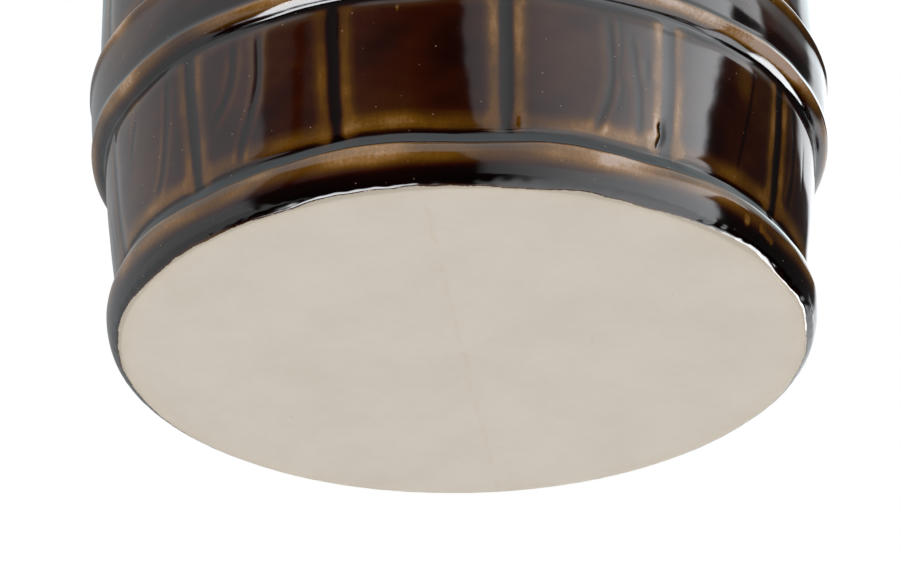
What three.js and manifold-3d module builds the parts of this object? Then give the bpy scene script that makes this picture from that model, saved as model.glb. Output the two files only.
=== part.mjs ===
// Upright stoneware barrel with moulded staves and hoops, a drop-in lid and a brass plug-cock tap.
// Millimetres, +Z up, origin at the centre of the foot. The tap points along -Y.
import * as THREE from 'three';
import { mergeVertices } from 'three/addons/utils/BufferGeometryUtils.js';
import Module from 'manifold-3d';

const wasm = await Module();
wasm.setup();

// Clearances and the overrun of every cut
const seatGap = 0.3;
const runningGap = 0.3;
const overrun = 2;
const weldTolerance = 0.0001;

// Barrel body
const bodyHeight = 192;
const bellyRadius = 85.8;
const endRadius = 80;
const bulgePower = 2.4;
const wallThickness = 7;
const floorThickness = 8;
const floorFillet = 6;
const staveWidthShares = [
  0.98, 0.98, 0.98, 0.98, 0.98, 1.04, 1.04, 1.04, 1.04, 1.04, 0.98, 0.98, 0.98, 0.98,
];
const grooveWidth = 4.2;
const grooveDepth = 1.5;
const staveEndDrop = 0.7;
const recessDepth = 1;
const recessWidth = 1.6;
const endHoopHeight = 9.8;
const endHoopStand = 2.7;
const bellyHoopBottom = 48.5;
const bellyHoopWidth = 17.6;
const bellyHoopStand = 3.1;

// Shares of a hoop's height and of its stand over the staves
const endHoopShares = [[0, -0.2], [0.08, 0.28], [0.3, 0.66], [0.6, 0.92], [0.92, 1], [1, 0.7]];
const bellyHoopShares = [[0, 0.72], [0.14, 1], [0.36, 0.84], [0.64, 0.84], [0.86, 1], [1, 0.72]];

// Shares of a stave field's height, with the share of the end drop there
const fieldShares = [[0, 1], [0.06, 0], [0.5, 0], [0.94, 0], [1, 1]];

// Mouth and lid
const rimWidth = 6.5;
const lidThickness = 6;
const lidSink = 3.6;
const lidClearance = 0.8;
const galleryWidth = 8;
const galleryThickness = 5;
const galleryRound = 2.5;
const spigotDepth = 7;
const spigotWall = 5;
const spigotClearance = 1;
const lidRound = 1.2;
const boardCount = 6;
const boardGrooveWidth = 2.4;
const boardGrooveDepth = 1.1;
const lidBand = 6;
const knobHeight = 25;
const knobRadius = 15;
const knobFootRadius = 16.5;
const knobWaistRadius = 8.5;

// Shares of the knob's foot flare, of its head flare and of its height
const knobShares = [
  [1, 0, 0.04], [0.6, 0, 0.12], [0.1, 0, 0.24], [0, 0, 0.36],
  [0, 0.3, 0.5], [0, 0.75, 0.62], [0, 1, 0.76], [0, 0.94, 0.89], [0, 0.6, 0.98],
];

// Plug and its port
const plugTopRadius = 6.6;
const plugBottomRadius = 5.4;
const portRadius = 3.4;
const collarWidth = 2.2;
const collarThickness = 2.2;
const lugAngle = 30;
const stopSlack = 2;
const quarterTurn = 90;
const stemSide = 6;
const stemHeight = 7.5;
const studRadius = 2.2;
const studLength = 4;
const plugWasherLap = 1.9;
const plugNutHeight = 4;
const plugStudRadius = 3;
const plugStudEnd = 1.2;
const smallNutWall = 1.5;

// Handle
const hubWall = 1.3;
const armRadius = 2.5;
const armTipRadius = 2;
const handleHalfLength = 22;
const handleSwingGap = 4;
const ballRadius = 3.6;
const handleNutHeight = 3;

// Tap body
const inletRadius = 3.6;
const shankWall = 2.4;
const neckWall = 3;
const flangeRadius = 14;
const flangeThickness = 3.6;
const chamberWall = 3.5;
const chamberHeight = 28;
const chamberBead = 1;
const beadHeight = 3;
const spoutBoreRadius = 4;
const spoutWall = 2.2;
const spoutBendRadius = 11.5;
const spoutDrop = 11;
const spoutLip = 0.9;
const spoutLipHeight = 2.4;

// Tap shank and fastening
const shankHoleClearance = 0.5;
const shankEnd = 3;
const shankChamfer = 0.6;
const sealThickness = 2;
const sealInset = 1;
const washerThickness = 1.2;
const nutWall = 3.5;
const shankNutHeight = 6;

// Tap pad on the barrel
const padMargin = 5.5;
const padFlare = 2;
const padStand = 2.2;
const padRound = 1.2;
const innerPadMargin = 4;
const innerPadStand = 1.7;

// Segment counts of round surfaces
const wallSegments = 48;
const lidSegments = 64;
const tapSegments = 24;
const smallSegments = 18;
const spoutSteps = 11;

// Heights and radii that follow
const midHeight = bodyHeight / 2;
const tapHeight = bellyHoopBottom + bellyHoopWidth / 2;
const lidSeat = bodyHeight - lidSink - lidThickness - seatGap;
const rimRadius = endRadius - rimWidth;
const galleryRadius = rimRadius - galleryWidth;
const chamberReach = handleHalfLength + handleSwingGap;
const chamberTop = chamberHeight / 2;
const chamberTopRadius = plugTopRadius + runningGap + chamberWall;
const chamberBottomRadius = plugBottomRadius + runningGap + chamberWall;
const spoutRadius = spoutBoreRadius + spoutWall;
const spoutReach = chamberReach + chamberBottomRadius - spoutLip + spoutBendRadius;
const neckRadius = inletRadius + neckWall;
const shankRadius = inletRadius + shankWall;
const sealRadius = flangeRadius - sealInset;
const padRadius = flangeRadius + padMargin;
const innerPadRadius = sealRadius + innerPadMargin;
const padFace = staveRadius(tapHeight) + bellyHoopStand + padStand;
const innerPadFace = innerWallReach(sealRadius) - innerPadStand;
const padDepth = padFace - innerPadFace;
const innerSealBack = -padDepth - seatGap - sealThickness;
const innerWasherBack = innerSealBack - seatGap - washerThickness;
const shankNutBack = innerWasherBack - seatGap;
const collarRadius = plugTopRadius + collarWidth;
const plugWasherRadius = plugBottomRadius + runningGap + plugWasherLap;
const plugNutFlats = 2 * (plugStudRadius + seatGap + smallNutWall);
const handleNutFlats = 2 * (studRadius + seatGap + smallNutWall);
const socketSide = stemSide + 2 * seatGap;
const hubRadius = socketSide / Math.SQRT2 + hubWall;

const glaze = new THREE.MeshStandardMaterial({ color: 0x3a1608, roughness: 0.12, metalness: 0 });
const brass = new THREE.MeshStandardMaterial({ color: 0xb08d4a, roughness: 0.3, metalness: 1 });
const rubber = new THREE.MeshStandardMaterial({ color: 0x2a2827, roughness: 0.8, metalness: 0 });

// Radius of the stave faces at a height
function staveRadius(z) {
  const reach = Math.abs(z - midHeight) / (midHeight - endHoopHeight);
  return bellyRadius - (bellyRadius - endRadius) * Math.min(reach, 1) ** bulgePower;
}

// Least distance from the barrel's axis of its inner wall, measured along the tap's axis, on a circle
// about that axis
function innerWallReach(radius) {
  const beside = Math.sqrt((staveRadius(tapHeight) - wallThickness) ** 2 - radius ** 2);
  const below = staveRadius(tapHeight - radius) - wallThickness;
  return Math.min(beside, below);
}

// A closed three.js geometry as a solid for joining and cutting
function solid(geometry) {
  const bare = geometry.index ? geometry.clone() : geometry;
  bare.deleteAttribute('normal');
  bare.deleteAttribute('uv');
  const merged = mergeVertices(bare, weldTolerance);
  const corners = merged.index.array;
  const kept = [];
  for (let i = 0; i < corners.length; i += 3) {
    const [a, b, c] = [corners[i], corners[i + 1], corners[i + 2]];
    if (a !== b && b !== c && c !== a) kept.push(a, b, c);
  }
  return new wasm.Manifold(new wasm.Mesh({
    numProp: 3,
    vertProperties: new Float32Array(merged.attributes.position.array),
    triVerts: new Uint32Array(kept),
  }));
}

// A solid back as a mesh with its node name
function piece(name, shape, material) {
  const { vertProperties, triVerts } = shape.getMesh();
  const geometry = new THREE.BufferGeometry();
  geometry.setAttribute('position', new THREE.BufferAttribute(new Float32Array(vertProperties), 3));
  geometry.setIndex(new THREE.BufferAttribute(new Uint32Array(triVerts), 1));
  geometry.computeVertexNormals();
  const mesh = new THREE.Mesh(geometry, material);
  mesh.name = name;
  return mesh;
}

function joined(first, ...others) {
  return others.reduce((sum, other) => sum.add(other), first);
}

// Revolves [radius, height] points, listed upwards from axis to axis, about the Y axis
function revolveY(points, segments) {
  const outline = points.map(([radius, height]) => new THREE.Vector2(radius, height));
  return new THREE.LatheGeometry(outline, segments);
}

// The same about +Z
function revolveUp(points, segments) {
  return revolveY(points, segments).rotateX(Math.PI / 2);
}

// The same along -Y, the way the tap points
function revolveOut(points, segments) {
  return revolveY(points, segments).rotateX(Math.PI);
}

// The same along +X
function revolveAcross(points, segments) {
  return revolveY(points, segments).rotateZ(-Math.PI / 2);
}

function cylinderPoints(radius, from, to) {
  return [[0, from], [radius, from], [radius, to], [0, to]];
}

// Angles of the grid's columns, with the depth share of the groove there
function staveColumns() {
  const shareSum = staveWidthShares.reduce((sum, share) => sum + share, 0);
  const edge = grooveWidth / 2 / endRadius;
  const columns = [];
  let angle = -Math.PI / 2 - Math.PI * staveWidthShares[0] / shareSum;
  for (const share of staveWidthShares) {
    const width = 2 * Math.PI * share / shareSum;
    const face = (width - 2 * edge) / 3;
    columns.push({ angle, depth: 1 });
    for (const across of [0, 1, 2, 3]) {
      columns.push({ angle: angle + edge + face * across, depth: 0 });
    }
    angle += width;
  }
  return columns;
}

// Rings of one stave field between two heights, with the recess at each end
function fieldRings(from, to) {
  const low = from + recessWidth;
  const high = to - recessWidth;
  const rings = fieldShares.map(([share, drop]) => {
    const z = low + (high - low) * share;
    return { z, radius: staveRadius(z) - drop * staveEndDrop, groove: 1 };
  });
  const recess = (z) => ({ z, radius: staveRadius(z) - recessDepth, groove: 0 });
  return [recess(from + recessWidth / 3), ...rings, recess(to - recessWidth / 3)];
}

function bellyHoopRings() {
  return bellyHoopShares.map(([along, stand]) => {
    const z = bellyHoopBottom + bellyHoopWidth * along;
    return { z, radius: staveRadius(z) + bellyHoopStand * stand, groove: 0 };
  });
}

function endHoopRings() {
  return endHoopShares.map(([along, stand]) => (
    { z: endHoopHeight * along, radius: endRadius + endHoopStand * stand, groove: 0 }
  ));
}

// All rings of the outside, from the foot to the rim; the upper half mirrors the lower
function outsideRings() {
  const bellyHoopTop = bellyHoopBottom + bellyHoopWidth;
  const lower = [
    ...endHoopRings(),
    ...fieldRings(endHoopHeight, bellyHoopBottom),
    ...bellyHoopRings(),
  ];
  const upper = lower.map((ring) => ({ ...ring, z: bodyHeight - ring.z })).reverse();
  return [...lower, ...fieldRings(bellyHoopTop, bodyHeight - bellyHoopTop), ...upper];
}

// The outside as a closed grid of rings and columns, with a fan of faces on each end
function outsideGeometry() {
  const columns = staveColumns();
  const rings = outsideRings();
  const count = columns.length;
  const positions = [];
  for (const { z, radius, groove } of rings) {
    for (const { angle, depth } of columns) {
      const r = radius - grooveDepth * groove * depth;
      positions.push(r * Math.cos(angle), r * Math.sin(angle), z);
    }
  }
  const footCentre = positions.length / 3;
  positions.push(0, 0, rings[0].z, 0, 0, rings[rings.length - 1].z);
  const faces = [];
  for (let column = 0; column < count; column += 1) {
    const next = (column + 1) % count;
    faces.push(footCentre, next, column);
    for (let ring = 0; ring < rings.length - 1; ring += 1) {
      const [low, high] = [ring * count, (ring + 1) * count];
      faces.push(low + column, low + next, high + next);
      faces.push(low + column, high + next, high + column);
    }
    const top = (rings.length - 1) * count;
    faces.push(footCentre + 1, top + column, top + next);
  }
  const geometry = new THREE.BufferGeometry();
  geometry.setAttribute('position', new THREE.Float32BufferAttribute(positions, 3));
  geometry.setIndex(faces);
  return geometry;
}

// Inside of the barrel, its gallery and its mouth, as the solid that is cut away
function insideGeometry() {
  const underGallery = lidSeat - galleryThickness;
  const points = [[0, floorThickness]];
  const cornerRadius = staveRadius(floorThickness) - wallThickness;
  for (const turnShare of [0, 0.33, 0.67, 1]) {
    const turn = turnShare * Math.PI / 2;
    points.push([
      cornerRadius - floorFillet * (1 - Math.sin(turn)),
      floorThickness + floorFillet * (1 - Math.cos(turn)),
    ]);
  }
  const shoulder = underGallery - galleryWidth;
  for (const share of [0.2, 0.4, 0.6, 0.8, 1]) {
    const z = floorThickness + floorFillet + (shoulder - floorThickness - floorFillet) * share;
    points.push([staveRadius(z) - wallThickness, z]);
  }
  points.push([galleryRadius, underGallery]);
  points.push([galleryRadius, lidSeat - galleryRound / 2]);
  points.push([galleryRadius + galleryRound / 2, lidSeat]);
  points.push([rimRadius, lidSeat]);
  points.push([rimRadius, bodyHeight + overrun]);
  points.push([0, bodyHeight + overrun]);
  return revolveUp(points, wallSegments);
}

// Round pad that gives the tap a flat face outside and inside
function padGeometry() {
  const middle = innerPadFace + (padDepth - padStand) / 2;
  return revolveOut([
    [0, innerPadFace],
    [innerPadRadius, innerPadFace],
    [innerPadRadius, middle],
    [padRadius + padFlare, middle],
    [padRadius, padFace - padRound],
    [padRadius - padRound, padFace],
    [0, padFace],
  ], wallSegments / 2).translate(0, 0, tapHeight);
}

function barrelBody() {
  const holePoints = cylinderPoints(
    shankRadius + shankHoleClearance,
    innerPadFace - overrun,
    padFace + overrun,
  );
  const hole = revolveOut(holePoints, tapSegments).translate(0, 0, tapHeight);
  return solid(outsideGeometry())
    .subtract(solid(insideGeometry()))
    .add(solid(padGeometry()))
    .subtract(solid(hole));
}

// Straight grooves that divide the lid's top into boards
function boardGrooves(top, radius) {
  const pitch = 2 * radius / boardCount;
  const half = boardGrooveWidth / 2;
  const grooves = [];
  for (let line = 1; line < boardCount; line += 1) {
    const across = line * pitch - radius;
    const halfLength = Math.sqrt(radius ** 2 - across ** 2);
    const section = new THREE.Shape([
      new THREE.Vector2(-half * 2, boardGrooveDepth),
      new THREE.Vector2(0, -boardGrooveDepth),
      new THREE.Vector2(half * 2, boardGrooveDepth),
    ]);
    const bar = new THREE.ExtrudeGeometry(section, { depth: 2 * halfLength, bevelEnabled: false });
    bar.translate(0, 0, -halfLength).rotateX(Math.PI / 2).translate(across, 0, top);
    grooves.push(solid(bar));
  }
  return grooves;
}

function lidShape() {
  const bottom = lidSeat + seatGap;
  const top = bottom + lidThickness;
  const radius = rimRadius - lidClearance;
  const spigot = galleryRadius - spigotClearance;
  const disc = solid(revolveUp([
    [0, bottom],
    [spigot - spigotWall, bottom],
    [spigot - spigotWall, bottom - spigotDepth + lidRound],
    [spigot - spigotWall + lidRound, bottom - spigotDepth],
    [spigot - lidRound, bottom - spigotDepth],
    [spigot, bottom - spigotDepth + lidRound],
    [spigot, bottom],
    [radius, bottom],
    [radius, top - lidRound],
    [radius - lidRound, top],
    [0, top],
  ], lidSegments));
  const cut = boardGrooves(top, radius - lidBand).reduce((rest, bar) => rest.subtract(bar), disc);
  const knobPoints = [[0, top - lidThickness / 2], [knobFootRadius, top - lidThickness / 2]];
  for (const [footShare, headShare, heightShare] of knobShares) {
    const radiusThere = knobWaistRadius
      + footShare * (knobFootRadius - knobWaistRadius)
      + headShare * (knobRadius - knobWaistRadius);
    knobPoints.push([radiusThere, top + knobHeight * heightShare]);
  }
  knobPoints.push([0, top + knobHeight]);
  return cut.add(solid(revolveUp(knobPoints, wallSegments / 2)));
}

// Flat ring about the tap's shank, from one distance outward of the pad's face to another
function shankRing(radius, from, to) {
  const hole = cylinderPoints(shankRadius + seatGap, from - overrun, to + overrun);
  const disc = solid(revolveOut(cylinderPoints(radius, from, to), tapSegments));
  return disc.subtract(solid(revolveOut(hole, tapSegments)));
}

// Hexagonal prism along +Z with its corners turned off
function hexPrism(flats, height) {
  const corner = flats / Math.sqrt(3);
  const chamfer = corner - flats / 2;
  const outline = new THREE.Shape();
  for (let side = 0; side < 6; side += 1) {
    const turn = side * Math.PI / 3;
    const [x, y] = [corner * Math.cos(turn), corner * Math.sin(turn)];
    if (side === 0) outline.moveTo(x, y);
    else outline.lineTo(x, y);
  }
  outline.closePath();
  const prism = new THREE.ExtrudeGeometry(outline, { depth: height, bevelEnabled: false });
  const turned = revolveUp([
    [0, 0], [flats / 2, 0], [corner, chamfer],
    [corner, height - chamfer], [flats / 2, height], [0, height],
  ], smallSegments);
  return solid(prism).intersect(solid(turned));
}

// Hexagonal nut along +Z with a round hole
function hexNut(flats, height, holeRadius) {
  const hole = revolveUp(cylinderPoints(holeRadius, -overrun, height + overrun), smallSegments);
  return hexPrism(flats, height).subtract(solid(hole));
}

// Centre line of the spout: out of the chamber, round a bend and down
function spoutPath(endDrop) {
  const start = new THREE.Vector3(0, -chamberReach, 0);
  const bendStart = new THREE.Vector3(0, spoutBendRadius - spoutReach, 0);
  const corner = new THREE.Vector3(0, -spoutReach, 0);
  const bendEnd = new THREE.Vector3(0, -spoutReach, -spoutBendRadius);
  const end = new THREE.Vector3(0, -spoutReach, -spoutBendRadius - endDrop);
  const path = new THREE.CurvePath();
  path.add(new THREE.LineCurve3(start, bendStart));
  path.add(new THREE.QuadraticBezierCurve3(bendStart, corner, bendEnd));
  path.add(new THREE.LineCurve3(bendEnd, end));
  return path;
}

function roundPipe(path, radius) {
  const section = new THREE.Shape();
  section.absarc(0, 0, radius, 0, 2 * Math.PI, false);
  return new THREE.ExtrudeGeometry(section, {
    extrudePath: path, steps: spoutSteps, bevelEnabled: false, curveSegments: smallSegments / 2,
  });
}

// Outside of the chamber, with a bead at each end
function chamberGeometry() {
  const radiusAt = (z) => chamberBottomRadius
    + (chamberTopRadius - chamberBottomRadius) * (z + chamberTop) / chamberHeight;
  const beads = [];
  for (const from of [-chamberTop, chamberTop - beadHeight]) {
    const to = from + beadHeight;
    const out = radiusAt((from + to) / 2) + chamberBead;
    beads.push([
      [radiusAt(from), from], [out, from + beadHeight / 4],
      [out, to - beadHeight / 4], [radiusAt(to), to],
    ]);
  }
  return revolveUp([[0, -chamberTop], ...beads.flat(), [0, chamberTop]], tapSegments);
}

// Sector ring about +Z between two angles in degrees
function sector(inner, outer, fromAngle, toAngle, low, high) {
  const [from, to] = [fromAngle, toAngle].map(THREE.MathUtils.degToRad);
  const outline = new THREE.Shape();
  outline.absarc(0, 0, outer, from, to, false);
  outline.absarc(0, 0, inner, to, from, true);
  outline.closePath();
  const ring = new THREE.ExtrudeGeometry(outline, {
    depth: high - low, bevelEnabled: false, curveSegments: smallSegments / 2,
  });
  return solid(ring.translate(0, 0, low));
}

// Tap body in the pad's frame: origin at the centre of the pad's face
function tapBody() {
  const flangeBack = sealThickness + 2 * seatGap;
  const flangeFront = flangeBack + flangeThickness;
  const shankTip = shankNutBack - shankNutHeight - shankEnd;
  const stem = solid(revolveOut([
    [0, shankTip],
    [shankRadius - shankChamfer, shankTip],
    [shankRadius, shankTip + shankChamfer],
    [shankRadius, flangeBack],
    [flangeRadius, flangeBack],
    [flangeRadius, flangeBack + flangeThickness / 2],
    [neckRadius + flangeThickness / 2, flangeFront],
    [neckRadius, flangeFront + flangeThickness / 2],
    [neckRadius, chamberReach],
    [0, chamberReach],
  ], tapSegments));
  const chamber = solid(chamberGeometry().translate(0, -chamberReach, 0));
  const spout = solid(roundPipe(spoutPath(spoutDrop), spoutRadius));
  const tipHeight = -spoutBendRadius - spoutDrop;
  const lip = solid(revolveUp([
    [0, tipHeight],
    [spoutRadius + spoutLip / 2, tipHeight],
    [spoutRadius + spoutLip, tipHeight + spoutLipHeight / 4],
    [spoutRadius + spoutLip, tipHeight + spoutLipHeight * 3 / 4],
    [spoutRadius - spoutLip / 2, tipHeight + spoutLipHeight],
    [0, tipHeight + spoutLipHeight],
  ], smallSegments).translate(0, -spoutReach, 0));
  const lug = sector(
    plugTopRadius + runningGap, collarRadius + runningGap,
    -lugAngle / 2, lugAngle / 2,
    chamberTop - beadHeight / 2, chamberTop + collarThickness,
  ).translate([0, -chamberReach, 0]);
  const taper = solid(revolveUp([
    [0, -chamberTop - overrun],
    [plugBottomRadius + runningGap, -chamberTop - overrun],
    [plugBottomRadius + runningGap, -chamberTop],
    [plugTopRadius + runningGap, chamberTop],
    [plugTopRadius + runningGap, chamberTop + overrun],
    [0, chamberTop + overrun],
  ], tapSegments).translate(0, -chamberReach, 0));
  const inlet = solid(revolveOut(
    cylinderPoints(inletRadius, shankTip - overrun, chamberReach),
    smallSegments,
  ));
  const outlet = solid(roundPipe(spoutPath(spoutDrop + overrun), spoutBoreRadius));
  return joined(stem, chamber, spout, lip)
    .subtract(taper)
    .subtract(inlet)
    .subtract(outlet)
    .add(lug);
}

// Plug in the chamber's frame, closed: its port lies across the flow
function tapPlug() {
  const collarLow = chamberTop + runningGap;
  const collarHigh = collarLow + collarThickness;
  const stemTop = collarHigh + stemHeight;
  const washerLow = -chamberTop - seatGap - washerThickness;
  const nutLow = washerLow - seatGap - plugNutHeight;
  const turned = solid(revolveUp([
    [0, nutLow - plugStudEnd],
    [plugStudRadius, nutLow - plugStudEnd],
    [plugStudRadius, -chamberTop + seatGap],
    [plugBottomRadius, -chamberTop + seatGap],
    [plugTopRadius, chamberTop],
    [plugTopRadius, collarLow],
    [collarRadius, collarLow],
    [collarRadius, collarHigh],
    [0, collarHigh],
  ], tapSegments));
  const stemLow = collarHigh - collarThickness / 2;
  const stem = new THREE.BoxGeometry(stemSide, stemSide, stemTop - stemLow);
  stem.translate(0, 0, (stemTop + stemLow) / 2);
  const stud = revolveUp(cylinderPoints(studRadius, stemLow, stemTop + studLength), smallSegments);
  const port = revolveAcross(
    cylinderPoints(portRadius, -collarRadius, collarRadius),
    smallSegments,
  );
  const notch = sector(
    plugTopRadius, collarRadius + overrun,
    -quarterTurn - lugAngle / 2 - stopSlack, lugAngle / 2 + stopSlack,
    collarLow, collarHigh + seatGap,
  );
  return joined(turned, solid(stem), solid(stud)).subtract(solid(port)).subtract(notch);
}

// T handle in the chamber's frame
function tapHandle() {
  const low = chamberTop + runningGap + collarThickness + seatGap;
  const high = low + stemHeight - seatGap - washerThickness / 2;
  const middle = (low + high) / 2;
  const hub = solid(revolveUp([
    [0, low], [hubRadius - armTipRadius / 2, low], [hubRadius, low + armTipRadius / 2],
    [hubRadius, high - armTipRadius / 2], [hubRadius - armTipRadius / 2, high], [0, high],
  ], tapSegments));
  const neck = handleHalfLength - 2 * ballRadius;
  const arm = [[0, 0], [armRadius, 0], [armTipRadius, neck]];
  for (const turnShare of [0.2, 0.4, 0.6, 0.8]) {
    const turn = turnShare * Math.PI;
    arm.push([
      ballRadius * Math.sin(turn),
      handleHalfLength - ballRadius - ballRadius * Math.cos(turn),
    ]);
  }
  arm.push([0, handleHalfLength]);
  const right = revolveAcross(arm, smallSegments).translate(0, 0, middle);
  const left = right.clone().rotateZ(Math.PI);
  const socket = new THREE.BoxGeometry(socketSide, socketSide, high - low + 2 * overrun);
  socket.translate(0, 0, middle);
  return joined(hub, solid(right), solid(left)).subtract(solid(socket));
}

// Domed nut on the plug's upper stud, in the chamber's frame
function handleNut() {
  const low = chamberTop + runningGap + collarThickness + stemHeight + seatGap;
  const domeRadius = studRadius + smallNutWall;
  const dome = [[0, 0], [domeRadius, 0]];
  for (const turnShare of [0, 0.33, 0.67]) {
    const turn = turnShare * Math.PI / 2;
    dome.push([
      domeRadius * Math.cos(turn),
      handleNutHeight + domeRadius * Math.sin(turn),
    ]);
  }
  dome.push([0, handleNutHeight + domeRadius]);
  const hole = cylinderPoints(studRadius + seatGap, -overrun, studLength);
  return hexPrism(handleNutFlats, handleNutHeight)
    .add(solid(revolveUp(dome, smallSegments)))
    .subtract(solid(revolveUp(hole, smallSegments)))
    .translate([0, 0, low]);
}

function plugWasher() {
  const high = -chamberTop - seatGap;
  const low = high - washerThickness;
  const disc = cylinderPoints(plugWasherRadius, low, high);
  const hole = cylinderPoints(plugStudRadius + seatGap, low - overrun, high + overrun);
  return solid(revolveUp(disc, tapSegments)).subtract(solid(revolveUp(hole, smallSegments)));
}

function plugNut() {
  const low = -chamberTop - 2 * seatGap - washerThickness - plugNutHeight;
  return hexNut(plugNutFlats, plugNutHeight, plugStudRadius + seatGap).translate([0, 0, low]);
}

function flangeSeal() {
  return shankRing(sealRadius, seatGap, seatGap + sealThickness);
}

function innerSeal() {
  return shankRing(sealRadius, innerSealBack, innerSealBack + sealThickness);
}

function innerWasher() {
  return shankRing(sealRadius - sealInset, innerWasherBack, innerWasherBack + washerThickness);
}

function shankNut() {
  const flats = 2 * (shankRadius + seatGap + nutWall);
  return hexNut(flats, shankNutHeight, shankRadius + seatGap)
    .rotate([90, 0, 0])
    .translate([0, shankNutHeight - shankNutBack, 0]);
}

const barrel = new THREE.Group();
barrel.add(piece('barrel_body', barrelBody(), glaze));
barrel.add(piece('lid', lidShape(), glaze));

const tap = new THREE.Group();
tap.position.set(0, -padFace, tapHeight);
tap.add(piece('tap_body', tapBody(), brass));
tap.add(piece('flange_seal', flangeSeal(), rubber));
tap.add(piece('inner_seal', innerSeal(), rubber));
tap.add(piece('inner_washer', innerWasher(), brass));
tap.add(piece('shank_nut', shankNut(), brass));

const plug = new THREE.Group();
plug.position.set(0, -chamberReach, 0);
plug.add(piece('tap_plug', tapPlug(), brass));
plug.add(piece('tap_handle', tapHandle(), brass));
plug.add(piece('handle_nut', handleNut(), brass));
plug.add(piece('plug_washer', plugWasher(), brass));
plug.add(piece('plug_nut', plugNut(), brass));
tap.add(plug);
barrel.add(tap);

export default barrel;
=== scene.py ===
# Looks of the glazed barrel with its lid and brass tap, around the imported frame.
# Lengths are in millimetres until a mesh is made, angles in degrees where a name says so.
import math

import bpy
import numpy as np
from mathutils import Matrix, Vector


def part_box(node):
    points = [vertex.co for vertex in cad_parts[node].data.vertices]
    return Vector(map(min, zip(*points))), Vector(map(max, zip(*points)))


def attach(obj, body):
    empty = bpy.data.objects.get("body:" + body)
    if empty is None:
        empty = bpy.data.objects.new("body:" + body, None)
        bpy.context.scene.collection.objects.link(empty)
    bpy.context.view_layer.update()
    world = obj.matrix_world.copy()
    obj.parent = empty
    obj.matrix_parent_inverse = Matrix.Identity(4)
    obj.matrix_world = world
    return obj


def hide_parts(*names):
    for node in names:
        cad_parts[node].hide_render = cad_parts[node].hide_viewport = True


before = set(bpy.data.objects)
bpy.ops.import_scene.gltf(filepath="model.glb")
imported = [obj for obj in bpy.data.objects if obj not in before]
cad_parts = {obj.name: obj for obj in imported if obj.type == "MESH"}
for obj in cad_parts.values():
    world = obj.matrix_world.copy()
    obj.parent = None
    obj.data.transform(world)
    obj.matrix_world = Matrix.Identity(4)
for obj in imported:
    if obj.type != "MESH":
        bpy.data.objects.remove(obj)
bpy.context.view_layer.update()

MM = 0.001
TURN = 2 * math.pi

# Photograph's frame and camera
IMAGE_WIDTH = 900
IMAGE_HEIGHT = 567
SENSOR_MM = 36
FOCAL_PIXELS = 4109
FOOT_PIXEL = (463.05, 351.99)
CAMERA_AZIMUTH_DEG = 186
CAMERA_ELEVATION_DEG = -26.4
CAMERA_ROLL_DEG = 0.93
CAMERA_DISTANCE = 954.4

# Barrel sizes
BODY_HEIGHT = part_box("barrel_body")[1].z / MM
BELLY_RADIUS = 85.8
END_RADIUS = 80
WIDEST = 88.13
BULGE_POWER = 2.4
WALL = 7
FLOOR = 8
FLOOR_FILLET = 6
END_HOOP = 9.8
BELLY_HOOP_LOW = 48.5
BELLY_HOOP_WIDTH = 17.6
RIM_WIDTH = 6.5
LID_SEAT = 182.1
GALLERY_WIDTH = 8
GALLERY_THICKNESS = 5
PAD_FACE = -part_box("barrel_body")[0].y / MM
PAD_RADIUS = 19.5
PAD_FLARE = 2
TAP_HEIGHT = BELLY_HOOP_LOW + BELLY_HOOP_WIDTH / 2
INNER_PAD_FACE = 75.16
INNER_PAD_RADIUS = 17
SHANK_HOLE_RADIUS = 6.5

STAVE_SHARES = [0.98] * 5 + [1.04] * 5 + [0.98] * 4
MID_HEIGHT = BODY_HEIGHT / 2

# Height over the foot and stand over the stave circle, from the foot to the first stave field
END_HOOP_STANDS = [
    (0, -0.9), (0.35, -0.3), (0.8, 0.4), (1.3, 1), (1.9, 1.42), (2.8, 1.84), (4, 2.24), (5.4, 2.54),
    (6.7, 2.7), (7.7, 2.76), (8.7, 2.64), (9.5, 2.4), (10.1, 2.08), (10.5, 1.66), (10.85, 1.02),
    (11.1, 0.4), (11.35, 0), (12, -0.2), (13, -0.42), (13.8, -0.58), (14.1, -0.62), (14.35, -0.18),
    (14.7, -0.06), (15.6, 0),
]
# Height over the belly hoop's lower edge and stand, up to the hoop's middle
BELLY_HOOP_STANDS = [
    (-5, 0), (-3.8, -0.06), (-2.8, -0.16), (-1.7, -0.2), (-1.4, -0.12), (-1.18, 0.7), (-0.7, 1.42),
    (-0.25, 2.04), (0.3, 2.48), (0.8, 2.74), (1.2, 2.84), (1.6, 2.84), (1.9, 2.76),
    (2.2, 2.62), (2.6, 2.46), (3, 2.38), (3.6, 2.36), (4.6, 2.38), (6.8, 2.44), (8.8, 2.44),
]
STAND_BLUR = 0.17

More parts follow.
